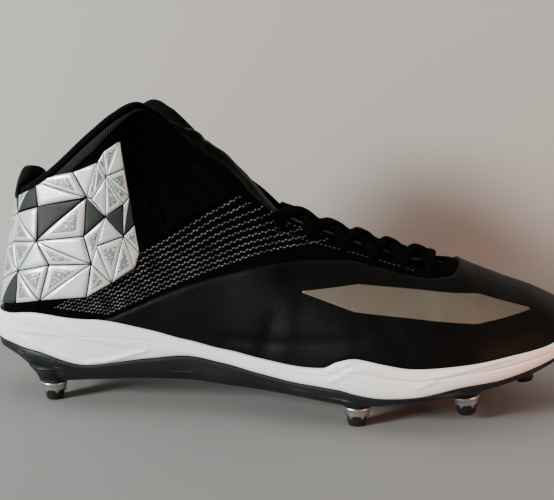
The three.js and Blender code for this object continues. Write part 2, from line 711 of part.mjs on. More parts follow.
function cuffSection(way) {
  const share = loopAt(way) / loopOf(CUFF_END);
  const rise = CUFF_RISE * (1 - CUFF_FADE * THREE.MathUtils.smoothstep(share, CUFF_FADE_FROM, 1));
  return CUFF_PROFILE.map((row) => rimPoint(way, row.out, row.over + row.rise * rise));
}

function cuffGeometry() {
  const end = loopOf(CUFF_END);
  return sweepOf(waysBetween(end, -end).map(cuffSection));
}

// Section of the tab, likewise. tall: share of the tab's height at this way.
const TAB_INSIDE = 0.4 + CLEARANCE;
const TAB_SEAT = CUFF_RISE + CUFF_SEAT + CLEARANCE;
const TAB_PROFILE = [
  { out: TAB_INSIDE, over: -1.5, tall: 0 },
  { out: TAB_INSIDE + TAB_THICK, over: -0.8, tall: 0 },
  { out: TAB_INSIDE + TAB_THICK, over: 0, tall: 0.45 },
  { out: 0.6, over: -1.2, tall: 1 },
  { out: -1.4, over: 0, tall: 1 },
  { out: -3.8, over: -0.8, tall: 1 },
  { out: -4.4, over: TAB_SEAT, tall: 0 },
  { out: TAB_INSIDE, over: TAB_SEAT, tall: 0 },
];

function tabSection(way) {
  const share = way / loopOf(TAB_END);
  const tall = TAB_LOW + (TAB_RISE - TAB_LOW) * Math.sqrt(Math.max(0, 1 - share * share));
  return TAB_PROFILE.map((row) => rimPoint(way, row.out, row.over + row.tall * tall));
}

function tabGeometry() {
  const end = loopOf(TAB_END);
  const ways = Array.from({ length: TAB_STEPS + 1 }, (_, i) => end * Math.cos((Math.PI * i) / TAB_STEPS));
  return sweepOf(ways.map(tabSection));
}

// Tongue: bridges the throat from under one flap to under the other
const TONGUE_FROM = 0.355;
const TONGUE_TO = 0.83;
const TONGUE_STEPS = 14;
const TONGUE_ACROSS = 8;
const TONGUE_TUCK = 0.14;

// Height of the tongue's arch. at: share of LENGTH where its columns start. arch: handle, share
// of its width.
const TONGUE_SECTIONS = [
  { at: 0.355, arch: 0.5 },
  { at: 0.4, arch: 0.8 },
  { at: 0.43, arch: 0.88 },
  { at: 0.48, arch: 0.88 },
  { at: 0.5, arch: 0.74 },
  { at: 0.52, arch: 0.52 },
  { at: 0.56, arch: 0.34 },
  { at: 0.83, arch: 0.34 },
];
const tongueArch = lineOf(TONGUE_SECTIONS, "arch");

function tongueGeometry() {
  const from = loopOf(TONGUE_FROM);
  const to = loopOf(TONGUE_TO);
  const rowAt = (step, deep) => {
    const loop = from + ((to - from) * step) / TONGUE_STEPS;
    const climb = 1 - TONGUE_TUCK;
    const depth = -(WALL + TONGUE_GAP + deep);
    const left = skin(-loop, climb, depth);
    const right = skin(loop, climb, depth);
    const handle = left.distanceTo(right) * tongueArch(loop);
    const leftHandle = left.clone().addScaledVector(climbing(-loop, climb), handle);
    const rightHandle = right.clone().addScaledVector(climbing(loop, climb), handle);
    const arch = new THREE.CubicBezierCurve3(left, leftHandle, rightHandle, right);
    return arch.getPoints(TONGUE_ACROSS);
  };
  const steps = Array.from({ length: TONGUE_STEPS + 1 }, (_, k) => k);
  const out = steps.map((k) => rowAt(k, 0));
  const into = steps.map((k) => rowAt(k, TONGUE_THICK));
  const triangles = [];
  for (let i = 0; i < TONGUE_STEPS; i += 1) {
    for (let k = 0; k < TONGUE_ACROSS; k += 1) {
      quad(triangles, out[i][k], out[i + 1][k], out[i + 1][k + 1], out[i][k + 1]);
      quad(triangles, into[i][k], into[i][k + 1], into[i + 1][k + 1], into[i + 1][k]);
    }
    const edge = TONGUE_ACROSS;
    quad(triangles, out[i][0], into[i][0], into[i + 1][0], out[i + 1][0]);
    quad(triangles, out[i][edge], out[i + 1][edge], into[i + 1][edge], into[i][edge]);
  }
  for (let k = 0; k < TONGUE_ACROSS; k += 1) {
    const end = TONGUE_STEPS;
    quad(triangles, out[0][k], out[0][k + 1], into[0][k + 1], into[0][k]);
    quad(triangles, out[end][k], into[end][k], into[end][k + 1], out[end][k + 1]);
  }
  return closedGeometry(triangles);
}

// Materials
const finish = (color, roughness, metalness) =>
  new THREE.MeshStandardMaterial({ color, roughness, metalness });
const whiteFoam = finish(0xe9e7e2, 0.45, 0);
const blackPlate = finish(0x15161a, 0.4, 0);
const blackSkin = finish(0x101012, 0.5, 0);
const blackMesh = finish(0x18181a, 0.85, 0);
const greyFabric = finish(0x2c2b2d, 0.9, 0);
const stainlessSteel = finish(0xb9bbbd, 0.3, 1);

const shoe = new THREE.Group();

function addPiece(name, geometry, material) {
  const piece = new THREE.Mesh(geometry, material);
  piece.name = name;
  shoe.add(piece);
}

addPiece("outsole", outsoleGeometry(), blackPlate);
addPiece("midsole", midsoleGeometry(), whiteFoam);
addPiece("insole", insoleGeometry(), greyFabric);
addPiece("upper", upperGeometry(), blackMesh);
addPiece("tongue", tongueGeometry(), greyFabric);
addPiece("forefoot_panel", forefootPanelGeometry(), blackSkin);
addPiece("ankle_panel", anklePanelGeometry(), blackSkin);
addPiece("collar_cuff", cuffGeometry(), greyFabric);
addPiece("heel_tab", tabGeometry(), greyFabric);
addPiece("laces", lacesGeometry(), blackMesh);
for (const stud of STUDS) {
  addPiece("stud_base_" + stud.name, placed(studBaseGeometry(), stud), stainlessSteel);
  addPiece("stud_tip_" + stud.name, placed(studTipGeometry(), stud), blackPlate);
}

// The origin is at the middle of the shoe's box, on the floor under the studs.
const box = new THREE.Box3().setFromObject(shoe);
const middle = box.getCenter(new THREE.Vector3());
shoe.position.set(-middle.x, -middle.y, -box.min.z);

export default shoe;
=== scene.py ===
# American football cleat, right shoe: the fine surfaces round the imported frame.
# Lengths are in millimetres in the shoe's own frame, toe along +X, outer side along -Y, and
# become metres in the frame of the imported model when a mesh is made.
import math

import bmesh
import bpy
import numpy as np
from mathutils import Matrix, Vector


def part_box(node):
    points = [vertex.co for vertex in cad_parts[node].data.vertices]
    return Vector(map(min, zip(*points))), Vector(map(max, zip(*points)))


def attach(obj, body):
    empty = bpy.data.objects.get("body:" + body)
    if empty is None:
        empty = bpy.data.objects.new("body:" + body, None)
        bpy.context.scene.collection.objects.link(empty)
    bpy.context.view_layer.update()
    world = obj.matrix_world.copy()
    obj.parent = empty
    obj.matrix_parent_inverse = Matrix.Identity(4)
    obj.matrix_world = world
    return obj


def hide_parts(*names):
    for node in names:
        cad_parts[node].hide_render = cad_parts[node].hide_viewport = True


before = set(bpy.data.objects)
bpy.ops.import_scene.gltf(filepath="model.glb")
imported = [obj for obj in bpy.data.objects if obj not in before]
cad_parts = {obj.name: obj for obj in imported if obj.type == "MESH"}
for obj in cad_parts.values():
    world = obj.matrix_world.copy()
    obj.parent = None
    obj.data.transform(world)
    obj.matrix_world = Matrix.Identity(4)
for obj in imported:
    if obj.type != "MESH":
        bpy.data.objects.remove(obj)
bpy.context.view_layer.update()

# Overall sizes of the foot
LENGTH = 305.0
BALL_WIDTH = 103.0
UPPER_TALL = 119.0
COLLAR_WIDTH = 60.0
TOE_SWING = 8.5
STUD_TALL = 9.8
TOE_RISE = 26.6
PLATE_TALL = 20.4
FOAM_TALL = 8.6
LIP_TALL = 16.2
CLEARANCE = 0.3
WALL = 2.0
LIP_WALL = 3.0
PLATE_INSET = 5.0
SEAM_INSET = 1.6
PLATE_MIDDLE_INSET = 17.0
PLATE_BELLY = 0.12
UPPER_INSET = LIP_WALL + CLEARANCE
FOOT_LEAN = 0.08
RIDGE_START = 0.81
STEP = 0.003
TINY = 1e-6
MIDSOLE_COLUMNS = 58
FINE_WELD = 0.001

# Outline from above and heights of the sole, from heel to toe: share of LENGTH, half widths as
# shares of BALL_WIDTH, then shares of TOE_RISE, PLATE_TALL, FOAM_TALL, LIP_TALL and PLATE_INSET.
SOLE_KEYS = ("at", "outer", "inner", "plate", "wall", "foam", "lip", "pinch")
SOLE_SECTIONS = [
    (0.0, 0.0, 0.0, 0.034, 0.995, 0.174, 0.796, 4.8),
    (0.04, 0.225, 0.225, 0.034, 0.985, 0.163, 0.84, 4.4),
    (0.1, 0.32, 0.31, 0.023, 0.907, 0.407, 0.988, 2.8),
    (0.2, 0.354, 0.34, 0.18, 0.436, 0.977, 0.914, 1.3),
    (0.3, 0.36, 0.325, 0.271, 0.554, 0.477, 0.623, 1),
    (0.36, 0.366, 0.305, 0.282, 0.642, 0.291, 0.34, 1),
    (0.42, 0.379, 0.296, 0.226, 0.583, 0.384, 0.228, 1),
    (0.48, 0.41, 0.31, 0.195, 0.446, 0.453, 0.228, 1),
    (0.54, 0.447, 0.35, 0.139, 0.387, 0.477, 0.253, 1),
    (0.58, 0.476, 0.388, 0.105, 0.397, 0.43, 0.358, 1),
    (0.6, 0.49, 0.41, 0.09, 0.397, 0.43, 0.593, 1),
    (0.63, 0.507, 0.437, 0.083, 0.333, 0.581, 0.747, 1),
    (0.67, 0.514, 0.466, 0.117, 0.225, 0.733, 0.63, 1),
    (0.72, 0.512, 0.49, 0.195, 0.167, 0.698, 0.481, 1),
    (0.8, 0.475, 0.5, 0.32, 0.26, 0.442, 0.395, 1),
    (0.86, 0.41, 0.476, 0.447, 0.206, 0.593, 0.321, 1),
    (0.94, 0.262, 0.395, 0.684, 0.211, 0.395, 0.241, 1),
    (0.975, 0.13, 0.29, 0.835, 0.157, 0.326, 0.241, 1),
    (1.0, -0.083, 0.083, 0.921, 0.132, 0.291, 0.241, 1),
]

# Top end of each column of the upper: where it starts and ends, shares of LENGTH, its height
# over the heel seat as a share of UPPER_TALL, half width, swing and the shape of its curve.
UPPER_KEYS = ("at", "reach", "tall", "half", "swing", "rise", "lean", "drop")
UPPER_SECTIONS = [
    (0.0, 0.051, 0.6, 0.0, 0, 0.3, 0.36, 0.26),
    (0.04, 0.072, 0.612, 0.27, 0, 0.3, 0.34, 0.28),
    (0.1, 0.118, 0.672, 0.41, 0, 0.3, 0.3, 0.32),
    (0.2, 0.208, 0.862, 0.47, 0, 0.3, 0.3, 0.36),
    (0.25, 0.244, 0.938, 0.435, 0, 0.3, 0.3, 0.36),
    (0.3, 0.277, 0.986, 0.32, 0, 0.3, 0.3, 0.36),
    (0.36, 0.304, 0.96, 0.27, 0, 0.32, 0.34, 0.3),
    (0.4, 0.354, 0.842, 0.265, 0, 0.33, 0.38, 0.24),
    (0.46, 0.393, 0.747, 0.272, 0, 0.34, 0.42, 0.18),
    (0.52, 0.457, 0.632, 0.283, 0, 0.36, 0.45, 0.14),
    (0.57, 0.508, 0.525, 0.255, 0, 0.38, 0.47, 0.12),
    (0.62, 0.574, 0.46, 0.229, 0, 0.4, 0.48, 0.1),
    (0.7, 0.666, 0.385, 0.209, 0, 0.43, 0.5, 0.06),
    (0.76, 0.734, 0.348, 0.18, 0, 0.46, 0.5, 0.02),
    (0.79, 0.764, 0.349, 0.1, 0, 0.48, 0.5, 0),
    (0.81, 0.776, 0.354, 0, 0.02, 0.5, 0.5, 0),
    (0.86, 0.812, 0.32, 0, 0.2, 0.54, 0.52, 0),
    (0.92, 0.862, 0.268, 0, 0.6, 0.58, 0.54, 0),
    (0.97, 0.902, 0.231, 0, 0.85, 0.6, 0.55, 0),
    (1.0, 0.925, 0.208, 0, 1, 0.6, 0.55, 0),
]


def loop_of(share):
    return np.arccos(1 - 2 * np.asarray(share, float)) / math.pi


def share_of(loop):
    return (1 - np.cos(math.pi * np.asarray(loop, float))) / 2


def line_through(x, y, level_ends):
    """A smooth line through points that never overshoots between two of them."""
    x, y = np.asarray(x, float), np.asarray(y, float)
    slope = np.diff(y) / np.diff(x)
    tangent = np.zeros(len(x))
    for i in range(1, len(x) - 1):
        if slope[i - 1] * slope[i] > 0:
            tangent[i] = 2 * slope[i - 1] * slope[i] / (slope[i - 1] + slope[i])
    if not level_ends:
        tangent[0], tangent[-1] = slope[0], slope[-1]

    def line(value):
        value = np.asarray(value, float)
        i = np.clip(np.searchsorted(x, value, side="right") - 1, 0, len(x) - 2)
        step = x[i + 1] - x[i]
        t = np.clip((value - x[i]) / step, 0, 1)
        curve = (3 - 2 * t) * t * t
        start = y[i] * (1 - curve) + y[i + 1] * curve
        return start + step * t * (1 - t) * (tangent[i] * (1 - t) - tangent[i + 1] * t)

    return line


def lines_of(rows, keys):
    at = loop_of([row[0] for row in rows])
    return {
        key: line_through(at, [row[i] for row in rows], key not in ("outer", "inner", "half"))
        for i, key in enumerate(keys)
        if i
    }


SOLE = lines_of(SOLE_SECTIONS, SOLE_KEYS)
TOP = lines_of(UPPER_SECTIONS, UPPER_KEYS)
RIDGE_WAY = float(loop_of(RIDGE_START))


def plate_z(loop):
    return STUD_TALL + TOE_RISE * SOLE["plate"](loop)


def seam_z(loop):
    return plate_z(loop) + PLATE_TALL * SOLE["wall"](loop)


def bed_z(loop):
    return seam_z(loop) + FOAM_TALL * SOLE["foam"](loop)


def lip_z(loop):
    return bed_z(loop) + LIP_TALL * SOLE["lip"](loop)


SEAT_Z = float(bed_z(0))


def wrap(way):
    return way - 2 * np.round(np.asarray(way, float) / 2)


def outline(way):
    turned = wrap(way)
    loop = np.abs(turned)
    half = np.where(turned < 0, -SOLE["outer"](loop), SOLE["inner"](loop))
    return np.stack([LENGTH * share_of(loop), BALL_WIDTH * half], -1)


def inset(way, distance):
    step = outline(way + STEP) - outline(way - STEP)
    inward = np.stack([step[..., 1], -step[..., 0]], -1)
    inward /= np.linalg.norm(inward, axis=-1, keepdims=True)
    return outline(way) + inward * np.asarray(distance, float)[..., None]


def top_point(way):
    turned = wrap(way)
    loop = np.abs(turned)
    half = np.where(loop > RIDGE_WAY - TINY, 0, COLLAR_WIDTH * TOP["half"](loop))
    return np.stack(
        [
            LENGTH * TOP["reach"](loop),
            TOE_SWING * TOP["swing"](loop) + np.sign(turned) * half,
            SEAT_Z + UPPER_TALL * TOP["tall"](loop),
        ],
        -1,
    )


def top_slope(loop):
    before = top_point(np.maximum(loop - STEP, 0))
    after = top_point(np.minimum(loop + STEP, 1))
    return (after[..., 2] - before[..., 2]) / (after[..., 0] - before[..., 0])


def bezier(start, first, second, end, t):
    return start * (1 - t) ** 3 + first * (3 * t * (1 - t) ** 2) + second * (3 * t * t * (1 - t)) + end * t**3


def face(way, climb):
    """The upper's outer face: way round the foot, climb from the feather line to the top."""
    way, climb = np.broadcast_arrays(np.asarray(way, float), np.asarray(climb, float))
    loop = np.abs(wrap(way))
    plan = inset(way, np.full(way.shape, UPPER_INSET))
    foot = np.concatenate([plan, (bed_z(loop) + CLEARANCE)[..., None]], -1)
    end = top_point(way)
    tall = end[..., 2] - foot[..., 2]
    lean = TOP["lean"](loop)
    first = foot.copy()
    first[..., 0] += FOOT_LEAN * (end[..., 0] - foot[..., 0])
    first[..., 2] += TOP["rise"](loop) * tall
    second = end.copy()
    second[..., 0] += lean * (foot[..., 0] - end[..., 0])
    second[..., 1] += lean * (foot[..., 1] - end[..., 1])
    second[..., 2] += top_slope(loop) * lean * (foot[..., 0] - end[..., 0]) - TOP["drop"](loop) * tall
    return bezier(foot, first, second, end, climb[..., None])


def unit(vectors):
    return vectors / np.maximum(np.linalg.norm(vectors, axis=-1, keepdims=True), 1e-12)


def climbing(way, climb):
    return unit(face(way, np.minimum(climb + STEP, 1)) - face(way, np.maximum(climb - STEP, 0)))


def outward(way, climb):
    way, climb = np.broadcast_arrays(np.asarray(way, float), np.asarray(climb, float))
    along = face(way + STEP, climb) - face(way - STEP, climb)
    normal = unit(np.cross(climbing(way, climb), along))
    flat = normal.copy()
    flat[..., 2] = 0
    return np.where((climb <= 0)[..., None], unit(flat), normal)


def skin(way, climb, distance=0.0, relief=True):
    """A point over the outer face by a distance, with the shoe's creases in it."""
    way, climb, distance = np.broadcast_arrays(
        np.asarray(way, float), np.asarray(climb, float), np.asarray(distance, float)
    )
    normal = outward(way, climb)
    ridge = (climb >= 1) & (np.abs(wrap(way)) > RIDGE_WAY - TINY)
    normal = np.where(ridge[..., None], unit(normal + outward(-way, climb)), normal)
    point = face(way, climb)
    height = distance + (creases(point) if relief else 0)
    return point + normal * height[..., None]


# Creases of the worn upper, seen from the side: points as (x, z), depth (negative is a ridge),
# half width, and the side of the shoe, -1 outer and 1 inner.
CREASES = [
    ([(148, 32), (150, 42), (152, 50)], 0.5, 3.5, -1),
    ([(158, 34), (161, 45), (160, 56)], -0.4, 4.0, -1),
    ([(130, 40), (150, 39), (172, 41), (196, 44)], 0.45, 3.0, -1),
    ([(170, 50), (190, 47), (214, 46)], -0.35, 5.0, -1),
    ([(205, 50), (214, 40), (220, 32)], 0.5, 5.0, -1),
    ([(226, 52), (233, 43), (238, 36)], 0.35, 4.0, -1),
    ([(98, 128), (108, 121), (122, 109), (131, 101)], 0.9, 3.0, -1),
    ([(103, 135), (113, 127), (126, 114)], -0.8, 3.5, -1),
    ([(104, 112), (116, 105), (133, 94)], 0.7, 3.2, -1),
    ([(60, 118), (74, 104), (80, 92)], 0.3, 5.0, -1),
    ([(200, 45), (210, 38), (214, 30)], 0.5, 5.0, 1),
    ([(150, 48), (170, 44), (192, 46)], 0.5, 4.5, 1),
    ([(98, 128), (108, 121), (122, 109), (131, 101)], 0.9, 3.0, 1),
    ([(104, 112), (116, 105), (133, 94)], 0.7, 3.2, 1),
]
CREASE_SIDE = 9.0


def distance_to(points, line):
    """The least distance from points to a line of corners, all of them seen from the side."""
    best = np.full(points.shape[:-1], np.inf)
    for a, b in zip(line[:-1], line[1:]):
        a, b = np.asarray(a, float), np.asarray(b, float)
        t = np.clip(((points - a) @ (b - a)) / ((b - a) @ (b - a)), 0, 1)
        best = np.minimum(best, np.linalg.norm(points - a - t[..., None] * (b - a), axis=-1))
    return best


def creases(point):
    seen = point[..., [0, 2]]
    height = np.zeros(point.shape[:-1])
    for line, depth, width, side in CREASES:
        weight = np.clip(side * point[..., 1] / CREASE_SIDE, 0, 1)
        height -= depth * weight * np.exp(-((distance_to(seen, line) / width) ** 2))
    return height


# Place of the shoe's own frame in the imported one, worked out from the midsole's box.
RING = outline(-2 * np.arange(MIDSOLE_COLUMNS) / MIDSOLE_COLUMNS)
MIDSOLE_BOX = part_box("midsole")
ORIGIN = np.array(
    [
        RING[:, 0].min() - MIDSOLE_BOX[0].x * 1000,
        RING[:, 1].min() - MIDSOLE_BOX[0].y * 1000,
        0.0,
    ]
)


def to_metres(points):
    return (np.asarray(points, float).reshape(-1, 3) - ORIGIN) / 1000


def new_object(name, points, faces, material, weld=None):
    mesh = bpy.data.meshes.new(name)
    mesh.from_pydata(points, [], faces)
    if weld:
        work = bmesh.new()
        work.from_mesh(mesh)
        bmesh.ops.remove_doubles(work, verts=work.verts, dist=weld / 1000)
        bmesh.ops.recalc_face_normals(work, faces=work.faces)
        work.to_mesh(mesh)
        work.free()
    mesh.polygons.foreach_set("use_smooth", [True] * len(mesh.polygons))
    mesh.materials.append(material)
    made = bpy.data.objects.new(name, mesh)
    bpy.context.scene.collection.objects.link(made)
    return made


def add_piece(name, shape, material, node=None, weld=None):
    """A visible piece on the body and the solid that it stands for."""
    points, faces = shape
    piece = new_object(name, to_metres(points).tolist(), faces, material, weld)
    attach(piece, "root")
    if node:
        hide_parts(node)
    return piece


def grid_faces(rows, columns, closed_rows=False, closed_columns=False, start=0):
    """Four-sided faces of a grid, numbered row by row."""
    faces = []
    for i in range(rows if closed_rows else rows - 1):
        for k in range(columns if closed_columns else columns - 1):
            i2, k2 = (i + 1) % rows, (k + 1) % columns
            faces.append(
                (start + i * columns + k, start + i2 * columns + k,
                 start + i2 * columns + k2, start + i * columns + k2)
            )
    return faces


def joined(parts):
    """Several (points, faces) pairs as one."""
    points, faces, start = [], [], 0
    for part_points, part_faces in parts:
        part_points = np.asarray(part_points, float).reshape(-1, 3)
        points.append(part_points)
        faces += [tuple(start + corner for corner in one) for one in part_faces]
        start += len(part_points)
    return np.concatenate(points), faces


def shell_of(outer, inner, closed=False):
    """A closed solid between two grids of points with the same rows and columns."""
    rows, columns = outer.shape[:2]
    both = np.concatenate([outer.reshape(-1, 3), inner.reshape(-1, 3)])
    size = rows * columns
    faces = grid_faces(rows, columns, closed)
    faces += [tuple(reversed(one)) for one in grid_faces(rows, columns, closed, start=size)]
    for i in range(rows if closed else rows - 1):
        i2 = (i + 1) % rows
        low, low2 = i * columns, i2 * columns
        high, high2 = low + columns - 1, low2 + columns - 1
        faces.append((low2, low, size + low, size + low2))
        faces.append((high, high2, size + high2, size + high))
    if not closed:
        last = (rows - 1) * columns
        for k in range(columns - 1):
            faces.append((k, k + 1, size + k + 1, size + k))
            faces.append((last + k + 1, last + k, size + last + k, size + last + k + 1))
    return both, faces


def capped(points):
    """Faces of a tube: rows of corners all round, and a cap at each end."""
    count, corners = points.shape[:2]
    faces = grid_faces(count, corners, closed_columns=True)
    faces.append(tuple(range(corners)))
    faces.append(tuple((count - 1) * corners + corners - 1 - k for k in range(corners)))
    return faces


def swept(centers, ups, width, thick, corners, square):
    """A flat rounded strip along a path, with caps. width and thick are arrays."""
    tangent = unit(np.gradient(centers, axis=0))
    across = unit(np.cross(tangent, ups))
    normal = np.cross(across, tangent)
    angle = 2 * math.pi * (np.arange(corners) + 0.5) / corners
    c, s = (np.sign(one) * np.abs(one) ** square for one in (np.cos(angle), np.sin(angle)))
    points = (
        centers[:, None]
        + across[:, None] * (width[:, None] / 2 * c)[..., None]
        + normal[:, None] * (thick[:, None] / 2 * s)[..., None]
    )
    return points, capped(points)


def span(a, b, c, d, steps):
    """Points from b up to c on a smooth curve that passes through all four."""
    return [
        0.5 * (2 * b + (c - a) * t + (2 * a - 5 * b + 4 * c - d) * t**2 + (3 * b - a - 3 * c + d) * t**3)
        for t in np.arange(steps) / steps
    ]


def smooth_path(points, steps):
    """A curve through every point, for positions or for directions."""
    points = np.asarray(points, float)
    padded = np.concatenate([[2 * points[0] - points[1]], points, [2 * points[-1] - points[-2]]])
    out = [one for i in range(len(points) - 1) for one in span(*padded[i : i + 4], steps)]
    return np.array([*out, points[-1]])


def closed_profile(points, steps):
    """A closed smooth curve through points of any dimension."""
    points = np.asarray(points, float)
    count = len(points)
    out = []
    for i in range(count):
        out += span(*(points[(i + j) % count] for j in (-1, 0, 1, 2)), steps)
    return np.array(out)


def walked_along(points):
    """Lengths from the start of a line, or of a grid's rows taken together."""
    steps = np.linalg.norm(np.diff(points, axis=0), axis=-1)
    if steps.ndim > 1:
        steps = steps.mean(1)
    return np.concatenate([[0], np.cumsum(steps)])


def eased(share):
    return share * share * (3 - 2 * share)


# Materials
class Paint:
    """A node material. A node's inputs take values, or outputs of other nodes as links."""

    def __init__(self, name):
        self.material = bpy.data.materials.new(name)
        self.material.use_nodes = True
        self.tree = self.material.node_tree
        self.shader = self.tree.nodes["Principled BSDF"]

    def put(self, node, inputs):
        for key, value in inputs.items():
            if isinstance(value, bpy.types.NodeSocket):
                self.tree.links.new(value, node.inputs[key])
            else:
                node.inputs[key].default_value = value

    def node(self, kind, inputs, **settings):
        """The outputs of a new node."""
        node = self.tree.nodes.new("ShaderNode" + kind)
        for key, value in settings.items():
            setattr(node, key, value)
        self.put(node, inputs)
        return node.outputs

    def place(self, kind="Object"):
        return self.node("TexCoord", {})[kind]

    def noise(self, scale, detail, rough=0.5, stretch=None):
        """Noise in the piece's own metres, scaled per metre."""
        at = self.place()
        if stretch:
            at = self.node("Mapping", {"Scale": stretch, "Vector": at})["Vector"]
        inputs = {"Scale": scale, "Detail": detail, "Roughness": rough, "Vector": at}
        return self.node("TexNoise", inputs)["Fac"]

    def cells(self, scale):
        return self.node("TexVoronoi", {"Scale": scale, "Vector": self.place()})["Distance"]

    def ramp(self, value, stops):
        """Colours or greys along a value: stops of (place, (r, g, b))."""
        ramp = self.tree.nodes.new("ShaderNodeValToRGB")
        for element, (place, color) in zip(ramp.color_ramp.elements, stops):
            element.position = place
            element.color = (*color, 1)
        self.put(ramp, {"Fac": value})
        return ramp.outputs["Color"]

    def bump(self, height, strength, distance, after=None):
        inputs = {"Strength": strength, "Distance": distance, "Height": height}
        if after:
            inputs["Normal"] = after
        return self.node("Bump", inputs)["Normal"]


def grey(value):
    return (value, value, value)


def grained(name, dark, light, rough, grain, depth, patch=18.0, coat=0.0, metal=0.0, gloss=0.5):
    """A surface with two shades in soft patches, a range of roughness and a fine grain."""
    paint = Paint(name)
    fine = paint.bump(paint.noise(grain, 3.0, 0.6), 0.6, depth)
    sheens = [(0.3, grey(rough[0])), (0.7, grey(rough[1]))]
    paint.put(paint.shader, {
        "Base Color": paint.ramp(paint.noise(patch, 5.0, 0.6), [(0.35, dark), (0.7, light)]),
        "Roughness": paint.ramp(paint.noise(patch * 3, 4.0), sheens),
        "Normal": paint.bump(paint.cells(grain * 0.6), 0.35, depth, fine),
        "Metallic": metal,
        "Coat Weight": coat,
        "Coat Roughness": 0.35,
        "Specular IOR Level": gloss,
    })
    return paint.material


def woven(name, dark, light, threads, depth, rough, sheen, gloss=0.3):
    """Cloth with threads that cross, in the piece's UV millimetres."""
    paint = Paint(name)
    waves = []
    for turn in (0.0, math.pi / 2):
        at = paint.node("Mapping", {"Rotation": (0, 0, turn), "Vector": paint.place("UV")})["Vector"]
        inputs = {"Scale": threads, "Distortion": 0.6, "Detail": 1.0, "Vector": at}
        waves.append(paint.node("TexWave", inputs)["Fac"])
    high = paint.node("Math", {0: waves[0], 1: waves[1]}, operation="MAXIMUM")[0]
    paint.put(paint.shader, {
        "Base Color": paint.ramp(high, [(0.3, dark), (0.95, light)]),
        "Normal": paint.bump(high, 0.8, depth),
        "Roughness": rough,
        "Sheen Weight": sheen,
        "Specular IOR Level": gloss,
    })
    return paint.material


def dotted(name, dark, light, cells):
    """A print of small raised dots close together."""
    paint = Paint(name)
    far = paint.cells(cells)
    paint.put(paint.shader, {
        "Base Color": paint.ramp(far, [(0.22, light), (0.5, dark)]),
        "Normal": paint.bump(far, -0.8, 0.0005),
        "Roughness": 0.4,
        "Metallic": 0.25,
    })
    return paint.material


def scuffed(name, dark, light, scratch):
    """Moulded plastic with soft patches, a light grain and thin pale scratches along it."""
    paint = Paint(name)
    lines = paint.noise(90.0, 6.0, 0.7, (0.25, 1.0, 3.2))
    grain = paint.bump(paint.noise(700.0, 3.0, 0.6), 0.5, 0.0001)
    mix = {
        "Factor": paint.ramp(lines, [(0.6, grey(0.0)), (0.74, grey(1.0))]),
        "A": paint.ramp(paint.noise(26.0, 5.0, 0.65), [(0.35, dark), (0.7, light)]),
        "B": (*scratch, 1),
    }
    paint.put(paint.shader, {
        "Base Color": paint.node("Mix", mix, data_type="RGBA")["Result"],
        "Normal": paint.bump(lines, 0.5, 0.0004, grain),
        "Roughness": 0.46,
        "Specular IOR Level": 0.22,
    })
    return paint.material


SKIN_BLACK = grained("black_skin", grey(0.0009), grey(0.0024), (0.42, 0.58), 900.0, 0.00012, gloss=0.085)
ANKLE_BLACK = grained("ankle_skin", grey(0.0004), grey(0.0012), (0.66, 0.8), 1100.0, 0.0001, gloss=0.02)
MESH_BLACK = woven("black_mesh", grey(0.0003), grey(0.0024), 0.42, 0.0006, 0.9, 0.0, 0.03)
LINING = woven("lining", (0.001, 0.0012, 0.0012), (0.006, 0.0065, 0.007), 0.45, 0.0005, 0.95, 0.01, 0.03)
TONGUE_CLOTH = grained("tongue_cloth", grey(0.0006), grey(0.002), (0.42, 0.6), 500.0, 0.0002, gloss=0.04)
TAB_CLOTH = woven("tab_cloth", grey(0.002), grey(0.01), 0.55, 0.0004, 0.85, 0.02, 0.06)
LACE_CLOTH = woven("lace_cloth", grey(0.0003), grey(0.0022), 0.8, 0.0004, 0.9, 0.0, 0.03)
KNIT_GREY = grained("knit_grey", grey(0.012), grey(0.17), (0.6, 0.8), 1200.0, 0.0001, patch=160.0)
THREAD_GREY = grained("thread_grey", grey(0.012), grey(0.04), (0.7, 0.85), 1500.0, 0.0001)
RIB_GREY = grained("rib_grey", (0.006, 0.007, 0.0075), (0.018, 0.02, 0.022), (0.7, 0.85), 1200.0, 0.0001,
                   gloss=0.1)
SILVER = grained("silver_print", (0.58, 0.64, 0.63), (0.8, 0.87, 0.86), (0.26, 0.42), 1300.0, 0.00006,
                 metal=0.4)
DOTTED = dotted("dotted_print", (0.18, 0.2, 0.2), (0.66, 0.7, 0.69), 1000.0)
SLATE = grained("slate_ground", (0.012, 0.015, 0.016), (0.026, 0.03, 0.03), (0.5, 0.65), 900.0, 0.0001,
                gloss=0.25)
MARK_GREY = grained("mark_grey", (0.087, 0.074, 0.052), (0.107, 0.092, 0.067), (0.45, 0.55), 1100.0, 0.00005)
FOAM_WHITE = grained("foam_white", (0.86, 0.87, 0.86), (0.92, 0.93, 0.92), (0.4, 0.5), 700.0, 0.00006,
                     coat=0.05)
PLATE_BLACK = scuffed("plate_black", (0.004, 0.005, 0.0065), (0.013, 0.015, 0.018), (0.09, 0.1, 0.1))
TIP_BLACK = grained("tip_black", grey(0.004), grey(0.012), (0.3, 0.5), 600.0, 0.0001, gloss=0.35)
STEEL = grained("steel", (0.5, 0.5, 0.5), (0.66, 0.66, 0.66), (0.22, 0.4), 800.0, 0.00005, metal=1.0)
BED_CLOTH = woven("bed_cloth", grey(0.01), grey(0.03), 0.5, 0.0004, 0.95, 0.2)


def set_uv(piece, columns_first):
    """Writes a UV in millimetres for each point of a piece."""
    layer = piece.data.uv_layers.new(name="UVMap")
    corners = np.zeros(len(piece.data.loops), np.int32)
    piece.data.loops.foreach_get("vertex_index", corners)
    layer.data.foreach_set("uv", np.asarray(columns_first, float).reshape(-1, 2)[corners].ravel())


